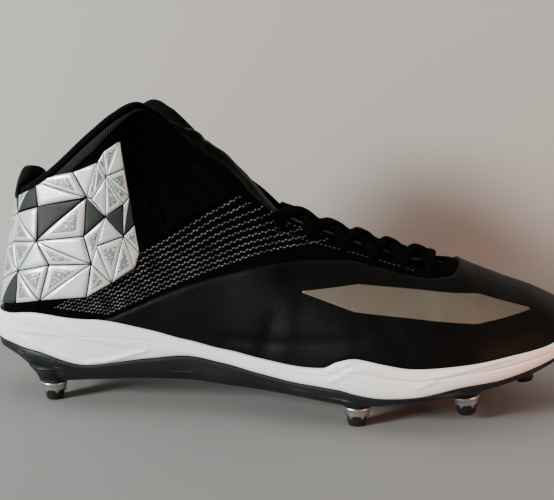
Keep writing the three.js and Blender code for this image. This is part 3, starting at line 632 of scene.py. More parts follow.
def grid_uv(points):
    """Lengths along both directions of a grid of points, in millimetres."""
    up = np.linalg.norm(np.diff(points, axis=1), axis=-1)
    u = walked_along(points)
    v = np.concatenate([np.zeros((len(points), 1)), np.cumsum(up, axis=1)], axis=1)
    return np.stack([np.broadcast_to(u[:, None], v.shape), v], -1)


# Upper: the hollow wall
UPPER_WAYS = 240
UPPER_ROWS = 56
UPPER_EASE = 0.9


def snapped(ways):
    """The same ways, with the throat's two ends exactly on one of them."""
    for sign in (-1, 1):
        ways[np.argmin(np.abs(ways - sign * RIDGE_WAY))] = sign * RIDGE_WAY
    return ways


def make_upper():
    ways = snapped(1 - 2 * np.arange(UPPER_WAYS) / UPPER_WAYS)[:, None]
    rows = np.linspace(0, 1, UPPER_ROWS) ** UPPER_EASE
    outer = skin(ways, rows[None])
    shape = shell_of(outer, skin(ways, rows[None], -WALL), closed=True)
    piece = add_piece("upper_wall", shape, MESH_BLACK, "upper")
    set_uv(piece, np.tile(grid_uv(outer).reshape(-1, 2), (2, 1)))


# Edges of the skins, seen from the side: share of LENGTH, height over the seat as a share of
# UPPER_TALL. The panels lie between these lines and the lip or the collar.
ANKLE_EDGE = [(-0.05, 0.148), (0.06, 0.148), (0.125, 0.15), (0.184, 0.24), (0.253, 0.366),
              (0.319, 0.458), (0.384, 0.564), (0.42, 0.618), (0.5, 0.75)]
FOREFOOT_EDGE = [(0.2, 0.1), (0.235, 0.13), (0.27, 0.172), (0.35, 0.262), (0.433, 0.33), (0.479, 0.36),
                 (0.541, 0.38), (0.61, 0.378), (0.656, 0.352), (0.7, 0.325), (0.74, 0.31),
                 (0.775, 0.315), (0.8, 0.36), (1.05, 0.8)]
OVERLAY_THICK = 0.9
LIP_MARGIN = 1.0
LIP_TUCK = 3.0
COLLAR_MARGIN = 6.6
SEARCH = np.linspace(0, 1, 400)
PANEL_ROWS = 64
PANEL_EASE = 0.7
PANEL_TUCK = 0.25
PANEL_UNDER = 0.4
PANEL_LEAST = 0.002
PANEL_WELD = 0.02
FOREFOOT_START = 0.212
FOREFOOT_WAYS = 300
FOREFOOT_SOFT = 3.2
ANKLE_END = 0.5
ANKLE_WAYS = 220
ANKLE_SOFT = 1.4


def edge_line(rows):
    x = [LENGTH * along for along, _ in rows]
    z = [SEAT_Z + UPPER_TALL * tall for _, tall in rows]
    return line_through(x, z, False)


def climb_where(way, test):
    """The lowest climb of each way's column where the test of its points turns true."""
    ways = np.asarray(way, float)[:, None]
    found = test(face(ways, SEARCH[None]))
    first = np.argmax(found, axis=1)
    return np.where(found.any(axis=1), SEARCH[first], 1.0)


def column_length(way):
    return np.linalg.norm(face(way, 1.0) - face(way, 0.0), axis=-1)


def lip_climb(way):
    """The climb where the skins start, tucked a little under the midsole's lip."""
    over = lip_z(np.abs(wrap(way))) + LIP_MARGIN - LIP_TUCK
    return climb_where(way, lambda points: points[..., 2] > over[:, None])


def eased_rows(count, edge):
    """Shares from 0 to 1, closer together near both ends."""
    share = np.linspace(0, 1, count)
    return share * (1 - edge) + edge * (1 - np.cos(math.pi * share)) / 2


def panel(name, ways, low, high, soft, material, node, open_top=False):
    """A skin over the upper between two climbs of each column, its edges rounded down."""
    climbs = low[:, None] + (high - low)[:, None] * eased_rows(PANEL_ROWS, PANEL_EASE)
    length = column_length(ways)[:, None]
    down = (climbs - low[:, None]) * length
    up = (high[:, None] - climbs) * length
    if open_top:
        up = np.where((np.abs(wrap(ways)) > RIDGE_WAY)[:, None], soft, up)
    walked = walked_along(face(ways[:, None], climbs))
    ends = np.minimum(walked, walked[-1] - walked)[:, None]
    near = np.clip(np.minimum(np.minimum(down, up), ends) / soft, 0, 1)
    height = -PANEL_TUCK + (CLEARANCE + OVERLAY_THICK + PANEL_TUCK) * np.sqrt(1 - (1 - near) ** 2)
    outer = skin(ways[:, None], climbs, height)
    inner = skin(ways[:, None], climbs, -PANEL_TUCK - PANEL_UNDER)
    add_piece(name, shell_of(outer, inner), material, node, weld=PANEL_WELD)


def make_forefoot_skin():
    start = float(loop_of(FOREFOOT_START))
    ways = snapped(wrap(np.linspace(start, 2 - start, FOREFOOT_WAYS)))
    edge = edge_line(FOREFOOT_EDGE)
    low = lip_climb(ways)
    high = climb_where(ways, lambda p: p[..., 2] > edge(p[..., 0]))
    high = np.maximum(high, low + PANEL_LEAST)
    panel("forefoot_skin", ways, low, high, FOREFOOT_SOFT, SKIN_BLACK, "forefoot_panel", open_top=True)


def make_ankle_skin():
    end = float(loop_of(ANKLE_END))
    ways = np.linspace(end, -end, ANKLE_WAYS)
    edge = edge_line(ANKLE_EDGE)
    low = np.maximum(climb_where(ways, lambda p: p[..., 2] > edge(p[..., 0])), lip_climb(ways))
    high = 1 - COLLAR_MARGIN / column_length(ways)
    low = np.minimum(low, high - PANEL_LEAST)
    panel("ankle_skin", ways, low, high, ANKLE_SOFT, ANKLE_BLACK, "ankle_panel")


# Surface details of the upper, each a thin solid that follows its face
OVER_SKIN = CLEARANCE + OVERLAY_THICK
SPOT_WAYS = 260
SPOT_CLIMBS = 90
SPOT_ROUNDS = 6
SHEET_UNDER = 0.25


def spots_at(seen, side):
    """Way and climb of the points of the upper's face seen from one side at (x, z)."""
    ways = side * np.linspace(0.004, 0.996, SPOT_WAYS)
    climbs = np.linspace(0, 1, SPOT_CLIMBS)
    flat = face(ways[:, None], climbs[None])[..., [0, 2]].reshape(-1, 2)
    seen = np.asarray(seen, float)
    index = np.array([np.argmin(((flat - one) ** 2).sum(1)) for one in seen.reshape(-1, 2)])
    way, climb = ways[index // SPOT_CLIMBS], climbs[index % SPOT_CLIMBS]
    for _ in range(SPOT_ROUNDS):
        miss = seen.reshape(-1, 2) - face(way, climb)[:, [0, 2]]
        by_way = (face(way + STEP, climb) - face(way - STEP, climb))[:, [0, 2]] / (2 * STEP)
        by_climb = (face(way, climb + STEP) - face(way, climb - STEP))[:, [0, 2]] / (2 * STEP)
        size = by_way[:, 0] * by_climb[:, 1] - by_way[:, 1] * by_climb[:, 0]
        size = np.where(np.abs(size) < TINY, TINY, size)
        turn = (miss[:, 0] * by_climb[:, 1] - miss[:, 1] * by_climb[:, 0]) / size
        lift = (by_way[:, 0] * miss[:, 1] - by_way[:, 1] * miss[:, 0]) / size
        way = way + np.clip(turn, -0.03, 0.03)
        climb = np.clip(climb + np.clip(lift, -0.08, 0.08), 0.001, 0.999)
    shape = seen.shape[:-1]
    return way.reshape(shape), climb.reshape(shape)


def climb_at(way, z):
    """The climb at a height for each way."""
    flat, tall = np.ravel(way), np.ravel(z)
    heights = face(flat[:, None], SEARCH[None])[..., 2]
    found = [np.interp(one, line, SEARCH) for one, line in zip(tall, heights)]
    return np.array(found).reshape(np.shape(way))


def thin_sheet(ways, climbs, low, high, soft):
    """A thin solid on the upper's face over a grid of places, its rim rounded down to low."""
    rows, columns = ways.shape
    i = np.minimum(np.arange(rows), rows - 1 - np.arange(rows))[:, None]
    k = np.minimum(np.arange(columns), columns - 1 - np.arange(columns))[None]
    near = np.clip(np.minimum(i, k) / soft, 0, 1)
    height = low + (high - low) * np.sqrt(1 - (1 - near) ** 2)
    return shell_of(skin(ways, climbs, height), skin(ways, climbs, np.full(ways.shape, low - SHEET_UNDER)))


BEAD_CORNERS = 6
BEAD_STEPS = 12
BEAD_SHOULDER = 0.3


def bead_row(line, side, stitch, over, spread=0.0):
    """Small rounded stitches one after another along a line seen from the side.

    A stitch is its pitch, length, width and height.
    """
    pitch, long, wide, tall = stitch
    path = smooth_path(line, BEAD_STEPS)
    walked = walked_along(path)
    at = np.arange(pitch / 2, walked[-1], pitch)
    seen = np.stack([np.interp(at, walked, path[:, k]) for k in range(2)], -1)
    way, climb = spots_at(seen, side)
    centers, normals = skin(way, climb, over), outward(way, climb)
    along = unit(np.gradient(centers, axis=0))
    across = unit(np.cross(normals, along))
    centers = centers + across * (spread * (-1.0) ** np.arange(len(at)))[:, None]
    angle = 2 * math.pi * np.arange(BEAD_CORNERS) / BEAD_CORNERS
    first, second, last = 1, 1 + BEAD_CORNERS, 1 + 2 * BEAD_CORNERS
    faces = []
    for k in range(BEAD_CORNERS):
        n = (k + 1) % BEAD_CORNERS
        faces.append((0, first + n, first + k))
        faces.append((first + k, first + n, second + n, second + k))
        faces.append((last, second + k, second + n))
    parts = []
    for center, normal, ahead, beside in zip(centers, normals, along, across):
        rings = [
            center + ahead * share * long
            + (beside * math.cos(a) * wide + normal * math.sin(a) * tall) * 0.5
            for share in (-BEAD_SHOULDER, BEAD_SHOULDER)
            for a in angle
        ]
        points = np.array([center - ahead * long / 2, *rings, center + ahead * long / 2])
        parts.append((points, faces))
    return parts


# Chain knit in the band between the two skins: its first and last row, and how many rows
KNIT_FIRST = [(42, 51), (58, 60.5), (78, 74.5), (98, 85.5), (118, 98), (134, 107)]
KNIT_LAST = [(68, 49), (84, 56.5), (107, 67), (130, 76), (150, 82.5), (178, 86)]
KNIT_ROWS = 9
KNIT_STITCH = (1.55, 1.5, 0.75, 0.7)
KNIT_SPREAD = 0.28
SEAM_LINE = [(150.7, 91.1), (164.9, 86.6), (186.2, 80.9), (202.6, 76.5), (219, 72.1)]
SEAM_STITCH = (2.3, 1.6, 0.6, 0.6)
STITCH_OVER = 0.1


def make_knit():
    first, last = np.array(KNIT_FIRST, float), np.array(KNIT_LAST, float)
    for side, name in ((-1, "outer"), (1, "inner")):
        chain = []
        for share in np.arange(KNIT_ROWS) / (KNIT_ROWS - 1):
            chain += bead_row(first * (1 - share) + last * share, side, KNIT_STITCH, STITCH_OVER, KNIT_SPREAD)
        seam = bead_row(SEAM_LINE, side, SEAM_STITCH, STITCH_OVER)
        add_piece("knit_chain_" + name, joined(chain), KNIT_GREY)
        add_piece("seam_thread_" + name, joined(seam), THREAD_GREY)


# Ribbed strip under the topline
RIB_PITCH = 1.5
RIB_TALL = 0.35
RIB_LOW = 6.3
RIB_HIGH = 0.9
RIB_END = 0.32
RIB_TAPER = 0.22
RIB_LEAST = 0.06
RIB_WAYS = 900
RIB_ROWS = 8
RIB_ROUND = 0.4
RIB_OVER = 0.25
RIB_UNDER = -0.2


def make_ribs():
    end = float(loop_of(RIB_END))
    ways = np.linspace(end, -end, RIB_WAYS)
    wave = 0.5 + 0.5 * np.cos(2 * math.pi * walked_along(face(ways, 1.0)) / RIB_PITCH)
    share = np.linspace(0, 1, RIB_ROWS)
    taper = np.clip((1 - np.abs(ways) / end) / RIB_TAPER, RIB_LEAST, 1)[:, None]
    down = RIB_HIGH + (RIB_LOW - RIB_HIGH) * (1 - share[None]) * taper
    climbs = 1 - down / column_length(ways)[:, None]
    height = RIB_OVER + RIB_TALL * (1 + wave[:, None]) * np.sin(math.pi * share)[None] ** RIB_ROUND
    grid = np.broadcast_to(ways[:, None], climbs.shape)
    shape = shell_of(skin(grid, climbs, height), skin(grid, climbs, RIB_UNDER))
    add_piece("rib_strip", shape, RIB_GREY)


# Broken triangles printed over the heel: lattice corners between a lower and an upper line
TILE_STEPS = 8
TILE_EASE = 0.6
SHEET_SOFT = 1.0
PRINT_WRAP = 0.15
PRINT_LOW = [(64.0, 57.6), (86.0, 80.0)]
PRINT_HIGH = [(57.0, 119.0), (76.5, 134.0)]
PRINT_HEEL = (46.2, 98.5)
PRINT_COLUMNS = 10
PRINT_LINES = 5
PRINT_SEED = 12
PRINT_WANDER = 0.3
PRINT_SLIM = 1.4
PRINT_DIP = 2.0
PRINT_SAG = 4.0
# Cells that stay bare, and cells without dots: one of so many, from this one on
BARE_EVERY, BARE_AT = 7, 3
PLAIN_EVERY, PLAIN_AT = 3, 1
# Each kind of tile: its low and high side over the skin, and how much of its cell it fills
PRINT_SETS = {
    "ground": (-0.1, 0.14, 1.0),
    "bright": (0.05, 0.4, 0.945),
    "dotted": (0.34, 0.52, 0.56),
    "raised": (-0.1, 0.3, 0.84),
}
RAISED_LOW = [(88.5, 88.0), (99.0, 93.0)]
RAISED_HIGH = [(79.5, 132.5), (93.0, 134.0)]
RAISED_COLUMNS = 3
RAISED_LINES = 5


def tile(corners, kind):
    """A thin plate of one kind over three corners given as (way, height)."""
    low, high, size = PRINT_SETS[kind]
    corners = np.asarray(corners, float)
    middle = corners.mean(0)
    a, b, c = middle + (corners - middle) * size
    t = eased_rows(TILE_STEPS, TILE_EASE)
    u, v = t[:, None, None], t[None, :, None]
    at = (a * (1 - u) + b * u) * (1 - v) + (c * (1 - u) + c * u) * v
    ways, tall = at[..., 0], at[..., 1]
    return thin_sheet(ways, climb_at(ways, tall), OVER_SKIN + low, OVER_SKIN + high, SHEET_SOFT)


def lattice(low, high, columns, lines, seed):
    """Corners of a grid between two lines of (way, height), each a little out of place."""
    rng = np.random.default_rng(seed)
    low, high = np.asarray(low, float), np.asarray(high, float)
    across, up = np.linspace(0, 1, columns), np.linspace(0, 1, lines)

    def along(line):
        at = np.linspace(0, 1, len(line))
        return np.stack([np.interp(across, at, line[:, k]) for k in range(2)], -1)

    start, end = along(low), along(high)
    grid = start[:, None] * (1 - up[None, :, None]) + end[:, None] * up[None, :, None]
    cell = np.array([np.ptp(grid[..., 0]) / columns, np.ptp(grid[..., 1]) / lines / PRINT_SLIM])
    out = rng.uniform(-PRINT_WANDER, PRINT_WANDER, grid.shape) * cell
    out[0] = out[-1] = 0
    out[:, 0, 1] = out[:, -1, 1] = 0
    return grid + out


def split_cells(grid):
    """The two triangles of each cell of a grid, cut on alternate diagonals."""
    out = []
    for i in range(grid.shape[0] - 1):
        for k in range(grid.shape[1] - 1):
            a, b, c, d = grid[i, k], grid[i + 1, k], grid[i + 1, k + 1], grid[i, k + 1]
            if (i + k) % 2:
                out += [(a, b, c), (a, c, d)]
            else:
                out += [(a, b, d), (b, c, d)]
    return out


def make_print():
    def corner(seen):
        way = spots_at(np.array([seen]), -1)[0]
        return [float(way[0]), seen[1]]

    def line(heel, rows):
        return [[PRINT_WRAP, heel], *[corner(one) for one in rows]]

    low, high = line(PRINT_HEEL[0], PRINT_LOW), line(PRINT_HEEL[1], PRINT_HIGH)
    low.insert(1, [(low[0][0] + low[1][0]) / 2, low[0][1] + PRINT_DIP])
    high.insert(1, [(high[0][0] + high[1][0]) / 2, (high[0][1] + high[1][1]) / 2 - PRINT_SAG])
    cells = split_cells(lattice(low, high, PRINT_COLUMNS, PRINT_LINES, PRINT_SEED))
    shown = [(number, cell) for number, cell in enumerate(cells) if number % BARE_EVERY != BARE_AT]
    side, top = ([corner(one) for one in rows] for rows in (RAISED_LOW, RAISED_HIGH))
    raised = split_cells(lattice(side, top, RAISED_COLUMNS, RAISED_LINES, PRINT_SEED + 1))
    sets = (
        ("ground", cells, SLATE),
        ("bright", [cell for _, cell in shown], SILVER),
        ("dotted", [cell for number, cell in shown if number % PLAIN_EVERY != PLAIN_AT], DOTTED),
        ("raised", raised, ANKLE_BLACK),
    )
    for kind, chosen, material in sets:
        add_piece("print_" + kind, joined([tile(cell, kind) for cell in chosen]), material)


# Plain six-sided bar near the toe
MARK_START = (166.0, 63.8)
MARK_END = (274.0, 54.2)
MARK_HALF = [(0, 0.3), (0.24, 6.0), (0.76, 6.0), (1, 0.3)]
MARK_COLUMNS = 90
MARK_ROWS = 14
MARK_EASE = 0.4
MARK_LOW = -0.05
MARK_HIGH = 0.14


def make_mark():
    share = np.linspace(0, 1, MARK_COLUMNS)
    start, end = np.array(MARK_START), np.array(MARK_END)
    ahead = unit(end - start)
    beside = np.array([-ahead[1], ahead[0]])
    half = np.interp(share, *zip(*MARK_HALF))
    off = half[:, None] * (eased_rows(MARK_ROWS, MARK_EASE) * 2 - 1)
    ways, climbs = spots_at(start + (end - start) * share[:, None, None] + beside * off[..., None], -1)
    shape = thin_sheet(ways, climbs, OVER_SKIN + MARK_LOW, OVER_SKIN + MARK_HIGH, SHEET_SOFT)
    add_piece("toe_bar", shape, MARK_GREY)


# Collar: the padded lip, and the tab at the heel
CUFF_END = 0.4
CUFF_RISE = 4.8
CUFF_DEPTH = 12.0
CUFF_THICK = 3.6
CUFF_FADE = 0.8
CUFF_SEAT = 0.6
CUFF_FADE_FROM = 0.6
CUFF_WAYS = 150
CUFF_INNER = -(WALL + CLEARANCE + 0.1)
CUFF_DEEP = CUFF_INNER - CUFF_THICK
CUFF_PROFILE = [
    (CUFF_INNER, CUFF_SEAT, 0), (-0.1, CUFF_SEAT, 0), (0.5, CUFF_SEAT, 0.35), (0.2, CUFF_SEAT, 0.72),
    (CUFF_INNER, CUFF_SEAT, 1), (CUFF_DEEP * 0.85, 0, 0.75), (CUFF_DEEP, 0, 0),
    (CUFF_DEEP * 0.97, -CUFF_DEPTH * 0.6, 0), (CUFF_INNER - 0.8, -CUFF_DEPTH, 0),
    (CUFF_INNER, -CUFF_DEPTH * 0.96, 0), (CUFF_INNER, -CUFF_DEPTH * 0.5, 0),
]


def rim_point(way, out, up):
    """A point beside the collar's edge: out from the wall's face, and past its edge or down it."""
    way, out, up = np.broadcast_arrays(np.asarray(way, float), out, up)
    down = skin(way, 1 - np.maximum(-up, 0) / column_length(way), out, relief=False)
    past = face(way, 1.0) + outward(way, 1.0) * out[..., None] + climbing(way, 1.0) * up[..., None]
    return np.where((up < 0)[..., None], down, past)


def profile_sweep(ways, profile, rise):
    """Points of a profile's rows (out, over, rise) for each way."""
    out, over, share = np.asarray(profile, float).T
    return rim_point(ways[:, None], out[None], over[None] + share[None] * rise[:, None])


def make_cuff():
    end = float(loop_of(CUFF_END))
    ways = end * np.cos(np.linspace(0, math.pi, CUFF_WAYS))
    share = np.clip((np.abs(ways) / end - CUFF_FADE_FROM) / (1 - CUFF_FADE_FROM), 0, 1)
    rise = CUFF_RISE * (1 - CUFF_FADE * eased(share))
    points = profile_sweep(ways, closed_profile(CUFF_PROFILE, 4), rise)
    piece = add_piece("collar_lip", (points, capped(points)), LINING, "collar_cuff")
    set_uv(piece, grid_uv(points))


TAB_END = 0.035
TAB_RISE = 15.5
TAB_LOW = 8.0
TAB_THICK = 1.3
TAB_INSIDE = 0.4 + CLEARANCE
TAB_SEAT = CUFF_RISE + CUFF_SEAT + CLEARANCE
TAB_WAYS = 40
TAB_PROFILE = [
    (TAB_INSIDE, -1.5, 0), (TAB_INSIDE + TAB_THICK, -0.8, 0), (TAB_INSIDE + TAB_THICK, 0, 0.45),
    (0.6, -1.2, 1), (-1.4, 0, 1), (-3.8, -0.8, 1), (-4.4, TAB_SEAT, 0), (TAB_INSIDE, TAB_SEAT, 0),
]


def make_tab():
    end = float(loop_of(TAB_END))
    ways = end * np.cos(np.linspace(0, math.pi, TAB_WAYS))
    tall = TAB_LOW + (TAB_RISE - TAB_LOW) * np.sqrt(np.clip(1 - (ways / end) ** 2, 0, 1))
    points = profile_sweep(ways, closed_profile(TAB_PROFILE, 3), tall)
    piece = add_piece("heel_pull", (points, capped(points)), TAB_CLOTH, "heel_tab")
    set_uv(piece, grid_uv(points))


# Tongue: bridges the throat from under one flap to under the other
TONGUE_FROM = 0.355
TONGUE_TO = 0.83
TONGUE_TUCK = 0.14
TONGUE_ARCH = [(0.355, 0.5), (0.4, 0.8), (0.43, 0.88), (0.48, 0.88), (0.5, 0.74), (0.52, 0.52), (0.56, 0.34),
               (0.83, 0.34)]
TONGUE_THICK = 3.2
TONGUE_GAP = 1.0
TONGUE_STEPS = 150
TONGUE_ROWS = 40
# Folds across the tongue: place, slope and depth. Ridges along it: place, slope, height, width.
TONGUE_FOLDS = [(0.07, 0.16, 1.1), (0.17, 0.08, 0.9), (0.3, 0.12, 0.6)]
TONGUE_FOLD_WIDTH = 0.016
TONGUE_RIDGES = [(0.2, 0.1, 1.3, 0.035), (0.32, 0.0, -0.9, 0.04), (0.42, 0.05, 0.8, 0.03)]
TONGUE_RIDGE_FADE = 1.4
TONGUE_PUFF = 1.0
TONGUE_ROUND = 0.7
TONGUE_END_DROP = 0.4
TONGUE_END_FADE = 40


def tongue_layer(loops, across, depth):
    climb = 1 - TONGUE_TUCK
    left = skin(-loops, climb, depth, relief=False)
    right = skin(loops, climb, depth, relief=False)
    arch = line_through(loop_of([row[0] for row in TONGUE_ARCH]), [row[1] for row in TONGUE_ARCH], True)
    handle = np.linalg.norm(left - right, axis=-1, keepdims=True) * arch(loops)[:, None]
    left_handle = left + climbing(-loops, climb) * handle
    right_handle = right + climbing(loops, climb) * handle
    sides = [one[:, None] for one in (left, left_handle, right_handle, right)]
    return bezier(*sides, across[None, :, None])


def make_tongue():
    steps = np.linspace(0, 1, TONGUE_STEPS)
    loops = float(loop_of(TONGUE_FROM)) * (1 - steps) + float(loop_of(TONGUE_TO)) * steps
    across = np.linspace(0, 1, TONGUE_ROWS)
    top = tongue_layer(loops, across, -(WALL + TONGUE_GAP))
    under = tongue_layer(loops, across, -(WALL + TONGUE_GAP + TONGUE_THICK))
    lift = unit(top - under)
    puff = np.sin(math.pi * across)[None] ** TONGUE_ROUND
    wave = sum(
        depth * np.exp(-(((steps[:, None] - place + slope * (across[None] - 0.5)) / TONGUE_FOLD_WIDTH) ** 2))
        for place, slope, depth in TONGUE_FOLDS
    )
    for place, slope, tall, width in TONGUE_RIDGES:
        off = (across[None] - place - slope * steps[:, None]) / width
        wave = wave - tall * np.exp(-(off**2)) * np.clip(1 - steps[:, None] * TONGUE_RIDGE_FADE, 0, 1)
    ends = np.clip(np.minimum(steps, 1 - steps) * TONGUE_END_FADE, 0, 1)[:, None]
    drop = (1 - ends) * TONGUE_THICK * TONGUE_END_DROP
    top = top + lift * ((TONGUE_PUFF - wave) * puff * ends - drop)[..., None]
    piece = add_piece("tongue_pad", shell_of(top, under), TONGUE_CLOTH, "tongue")
    set_uv(piece, np.tile(grid_uv(top).reshape(-1, 2), (2, 1)))


# Laces: crossings of one lace, out of an eyelet, over the throat and in at the next one
EYELET_PAIRS = 6
EYELET_FROM = 0.56
EYELET_TO = 0.768
EYELET_DOWN = 5.2
EYELET_SIDES = 20
EYELET_RIM = [(2.2, 0.0), (2.4, 0.5), (2.9, 0.55), (3.2, 0.3), (3.3, -0.5), (2.2, -0.5)]
LACE_WIDTH = 6.6
LACE_THICK = 3.1
LACE_BULGE = 2.2
LACE_LUMPS = 0.16
LACE_STEPS = 7
LACE_SIDES = 14
LACE_SQUARE = 0.6
LACE_PINCH = 0.45
LACE_TAPER = 9
LACE_WAVES = 23
LACE_OVER = {-1: 0.9, 1: -0.7}
LACE_LIFTS = np.array([-2.2, 1.5, 2.4, 3.0, 1.4, 1.6, 1.2, -2.2])
LACE_MIDDLE = 3
EYELET_LIFT = 0.35


def eyelet(pair, side):
    way = side * float(loop_of(EYELET_FROM + (EYELET_TO - EYELET_FROM) * pair / (EYELET_PAIRS - 1)))
    return way, 1 - EYELET_DOWN / float(column_length(way))


def lace_run(start, end, over):
    """Control points and ups of one crossing, from the eyelet at start to the one at end."""
    (way, climb), (far, far_climb) = start, end
    a, b = skin(way, climb), skin(far, far_climb)
    up_a, up_b = outward(way, climb), outward(far, far_climb)
    edge_a, edge_b = skin(way, 1.0), skin(far, 1.0)
    up = unit(up_a + up_b)
    places = [a, a, edge_a * 0.9 + edge_b * 0.1, (edge_a + edge_b) / 2]
    places += [edge_a * 0.12 + edge_b * 0.88, edge_b * 0.6 + b * 0.4, b, b]
    ups = [up_a, up_a, up, up, up, up_b, up_b, up_b]
    lifts = LACE_LIFTS.copy()
    lifts[LACE_MIDDLE] += over
    return [(place + one * lift, one) for place, one, lift in zip(places, ups, lifts)]


def make_laces():
    parts = []
    last = EYELET_PAIRS - 1
    runs = [((last, -1), (last, 1), 0.0)]
    for pair in range(last - 1, -1, -1):
        for side in (-1, 1):
            lift = LACE_BULGE * math.sin(math.pi * (pair + 1) / (EYELET_PAIRS + 0.5))
            runs.append(((pair + 1, -side), (pair, side), lift + LACE_OVER[side]))
    for start, end, over in runs:
        rows = lace_run(eyelet(*start), eyelet(*end), over)
        centers = smooth_path([row[0] for row in rows], LACE_STEPS)
        ups = unit(smooth_path([row[1] for row in rows], LACE_STEPS))
        share = np.linspace(0, 1, len(centers))
        pinch = np.clip(np.minimum(share, 1 - share) * LACE_TAPER, LACE_PINCH, 1)
        puff = 1 + LACE_LUMPS * np.sin(share * LACE_WAVES + start[1] * 2 + start[0])
        width, thick = LACE_WIDTH * pinch * puff, LACE_THICK / np.sqrt(pinch) / puff
        parts.append(swept(centers, ups, width, thick, LACE_SIDES, LACE_SQUARE))
    shape = joined(parts)
    piece = add_piece("lace_run", shape, LACE_CLOTH, "laces")
    set_uv(piece, shape[0][:, [0, 1]])


def make_eyelets():
    parts = []
    turn = 2 * math.pi * np.arange(EYELET_SIDES) / EYELET_SIDES
    for pair in range(EYELET_PAIRS):
        for side in (-1, 1):
            way, climb = eyelet(pair, side)
            center = skin(way, climb, EYELET_LIFT)
            up, ahead = outward(way, climb), climbing(way, climb)
            spoke = np.cross(up, ahead) * np.cos(turn)[:, None] + ahead * np.sin(turn)[:, None]
            points = np.stack([center + spoke * radius + up * height for radius, height in EYELET_RIM], 1)
            parts.append((points, grid_faces(EYELET_SIDES, len(EYELET_RIM), True, True)))
    add_piece("eyelet_rims", joined(parts), TONGUE_CLOTH)


# Sole: rings round the outline, one above the other, as rows of a closed grid
RING_WAYS = 320


def ring(distance, heights, count=RING_WAYS, relief=None):
    ways = -2 * np.arange(count) / count
    loops = np.abs(wrap(ways))
    distance = distance(loops) if callable(distance) else np.full(count, float(distance))
    plan, high = inset(ways, distance), heights(loops)
    if relief:
        plan = inset(ways, distance + relief(plan[:, 0], plan[:, 1], high))
    return np.concatenate([plan, high[:, None]], -1)


def ring_stack(rings):
    """A closed solid of rings, flat across its two ends."""
    points = np.stack(rings, 1)
    count, rows = points.shape[:2]
    faces = grid_faces(count, rows, closed_rows=True)
    for i in range(count // 2):
        far, far_next = (count - i) % count, count - i - 1
        for row, turned in ((0, False), (rows - 1, True)):
            corners = [k * rows + row for k in (i, far, far_next, i + 1)]
            corners = list(dict.fromkeys(corners))
            if len(corners) > 2:
                faces.append(tuple(reversed(corners)) if turned else tuple(corners))
    return points, faces


# Profile of the cup's side: inset, share of the way from the seam up to the lip, and rise
CUP_PROFILE = [
    (0.2 + SEAM_INSET, 0.0, 0.0), (SEAM_INSET * 0.6, 0.06, 0), (0.5, 0.14, 0), (0.15, 0.24, 0),
    (0.0, 0.34, 0), (0.0, 0.45, 0), (0.05, 0.54, 0), (0.1, 0.62, -0.8), (0.35, 0.62, -0.45),
    (0.8, 0.62, -0.1), (0.8, 0.62, 0.1), (0.35, 0.62, 0.4), (0.2, 0.62, 0.7), (0.3, 0.78, 0),
    (0.5, 0.9, 0), (0.8, 0.96, 0), (1.3, 0.99, 0), (1.9, 1.0, 0.1), (2.5, 1.0, -0.1), (2.9, 1.0, -0.5),
]
CUP_WAYS = 720
CUP_FINER = 3
CUP_PLAIN = (0.02, 0.97)

# Low relief moulded in the cup's side, seen from the side: points as (x, z), depth (negative is
# a ridge), half width, and the side of the shoe, or 0 for both.
CUP_LINES = [
    ([(60, 25), (72.6, 27), (90, 32.9)], -0.7, 1.0, 0),
    ([(17.6, 42.1), (30, 42.2), (41, 41.6)], 0.35, 0.8, 0),
    ([(181, 24.7), (190.3, 30.6), (196.3, 31.8), (209.2, 29), (222, 28), (231, 29.3), (248.9, 33.6),
      (266.5, 37)], -0.7, 1.0, -1),
    ([(190, 35.6), (200, 33.9), (212.8, 31.5), (227.4, 31.2), (240, 33.5)], 0.5, 1.1, -1),
    ([(182, 26.8), (190.3, 33), (196, 34)], 0.45, 0.9, -1),
    ([(221.2, 23.9), (228.4, 27.2)], -0.6, 0.9, -1),
]
LEAF_TOP = [(19, 37.9), (30, 38.6), (49, 38.4), (70, 35.7), (91, 33.2)]
LEAF_LOW = [(19, 37.7), (28, 34.2), (38, 30.6), (58, 24.4), (66, 25.0), (78, 29.2), (91, 33.0)]
LEAF_DEPTH = 0.9
LEAF_EDGE = 1.3
OUTSIDE = 999


def cup_relief(x, y, z):
    """How far the cup's side is pressed in at a place."""
    seen = np.stack([x, z], -1)
    top = np.interp(x, *zip(*LEAF_TOP), -OUTSIDE, -OUTSIDE)
    low = np.interp(x, *zip(*LEAF_LOW), OUTSIDE, OUTSIDE)
    inside = np.minimum(top - z, z - low)
    depth = LEAF_DEPTH * eased(np.clip(inside / LEAF_EDGE, 0, 1))
    for line, deep, width, side in CUP_LINES:
        weight = np.clip(side * y / CREASE_SIDE, 0, 1) if side else 1.0
        depth = depth + deep * weight * np.exp(-((distance_to(seen, line) / width) ** 2))
    return depth


def make_midsole():
    rows = np.array(CUP_PROFILE)
    at = np.arange(len(rows))
    finer = np.linspace(0, len(rows) - 1, (len(rows) - 1) * CUP_FINER + 1)
    rows = np.stack([np.interp(finer, at, rows[:, k]) for k in range(3)], -1)
    rings = []
    for inward, share, rise in rows:
        def height(loop):
            return seam_z(loop) + (lip_z(loop) - seam_z(loop)) * share + rise

        relief = cup_relief if CUP_PLAIN[0] < share < CUP_PLAIN[1] else None
        rings.append(ring(inward, height, CUP_WAYS, relief))
    rings.append(ring(LIP_WALL, bed_z, CUP_WAYS))
    add_piece("midsole_cup", ring_stack(rings), FOAM_WHITE, "midsole", weld=FINE_WELD)


# Profile of the footbed: inset from the upper's inner face, and rise
BED_PROFILE = [(0, 0), (0.1, 1.2), (0.8, 2.1), (1.6, 3.0), (3.0, 3.0), (9.0, 2.9)]


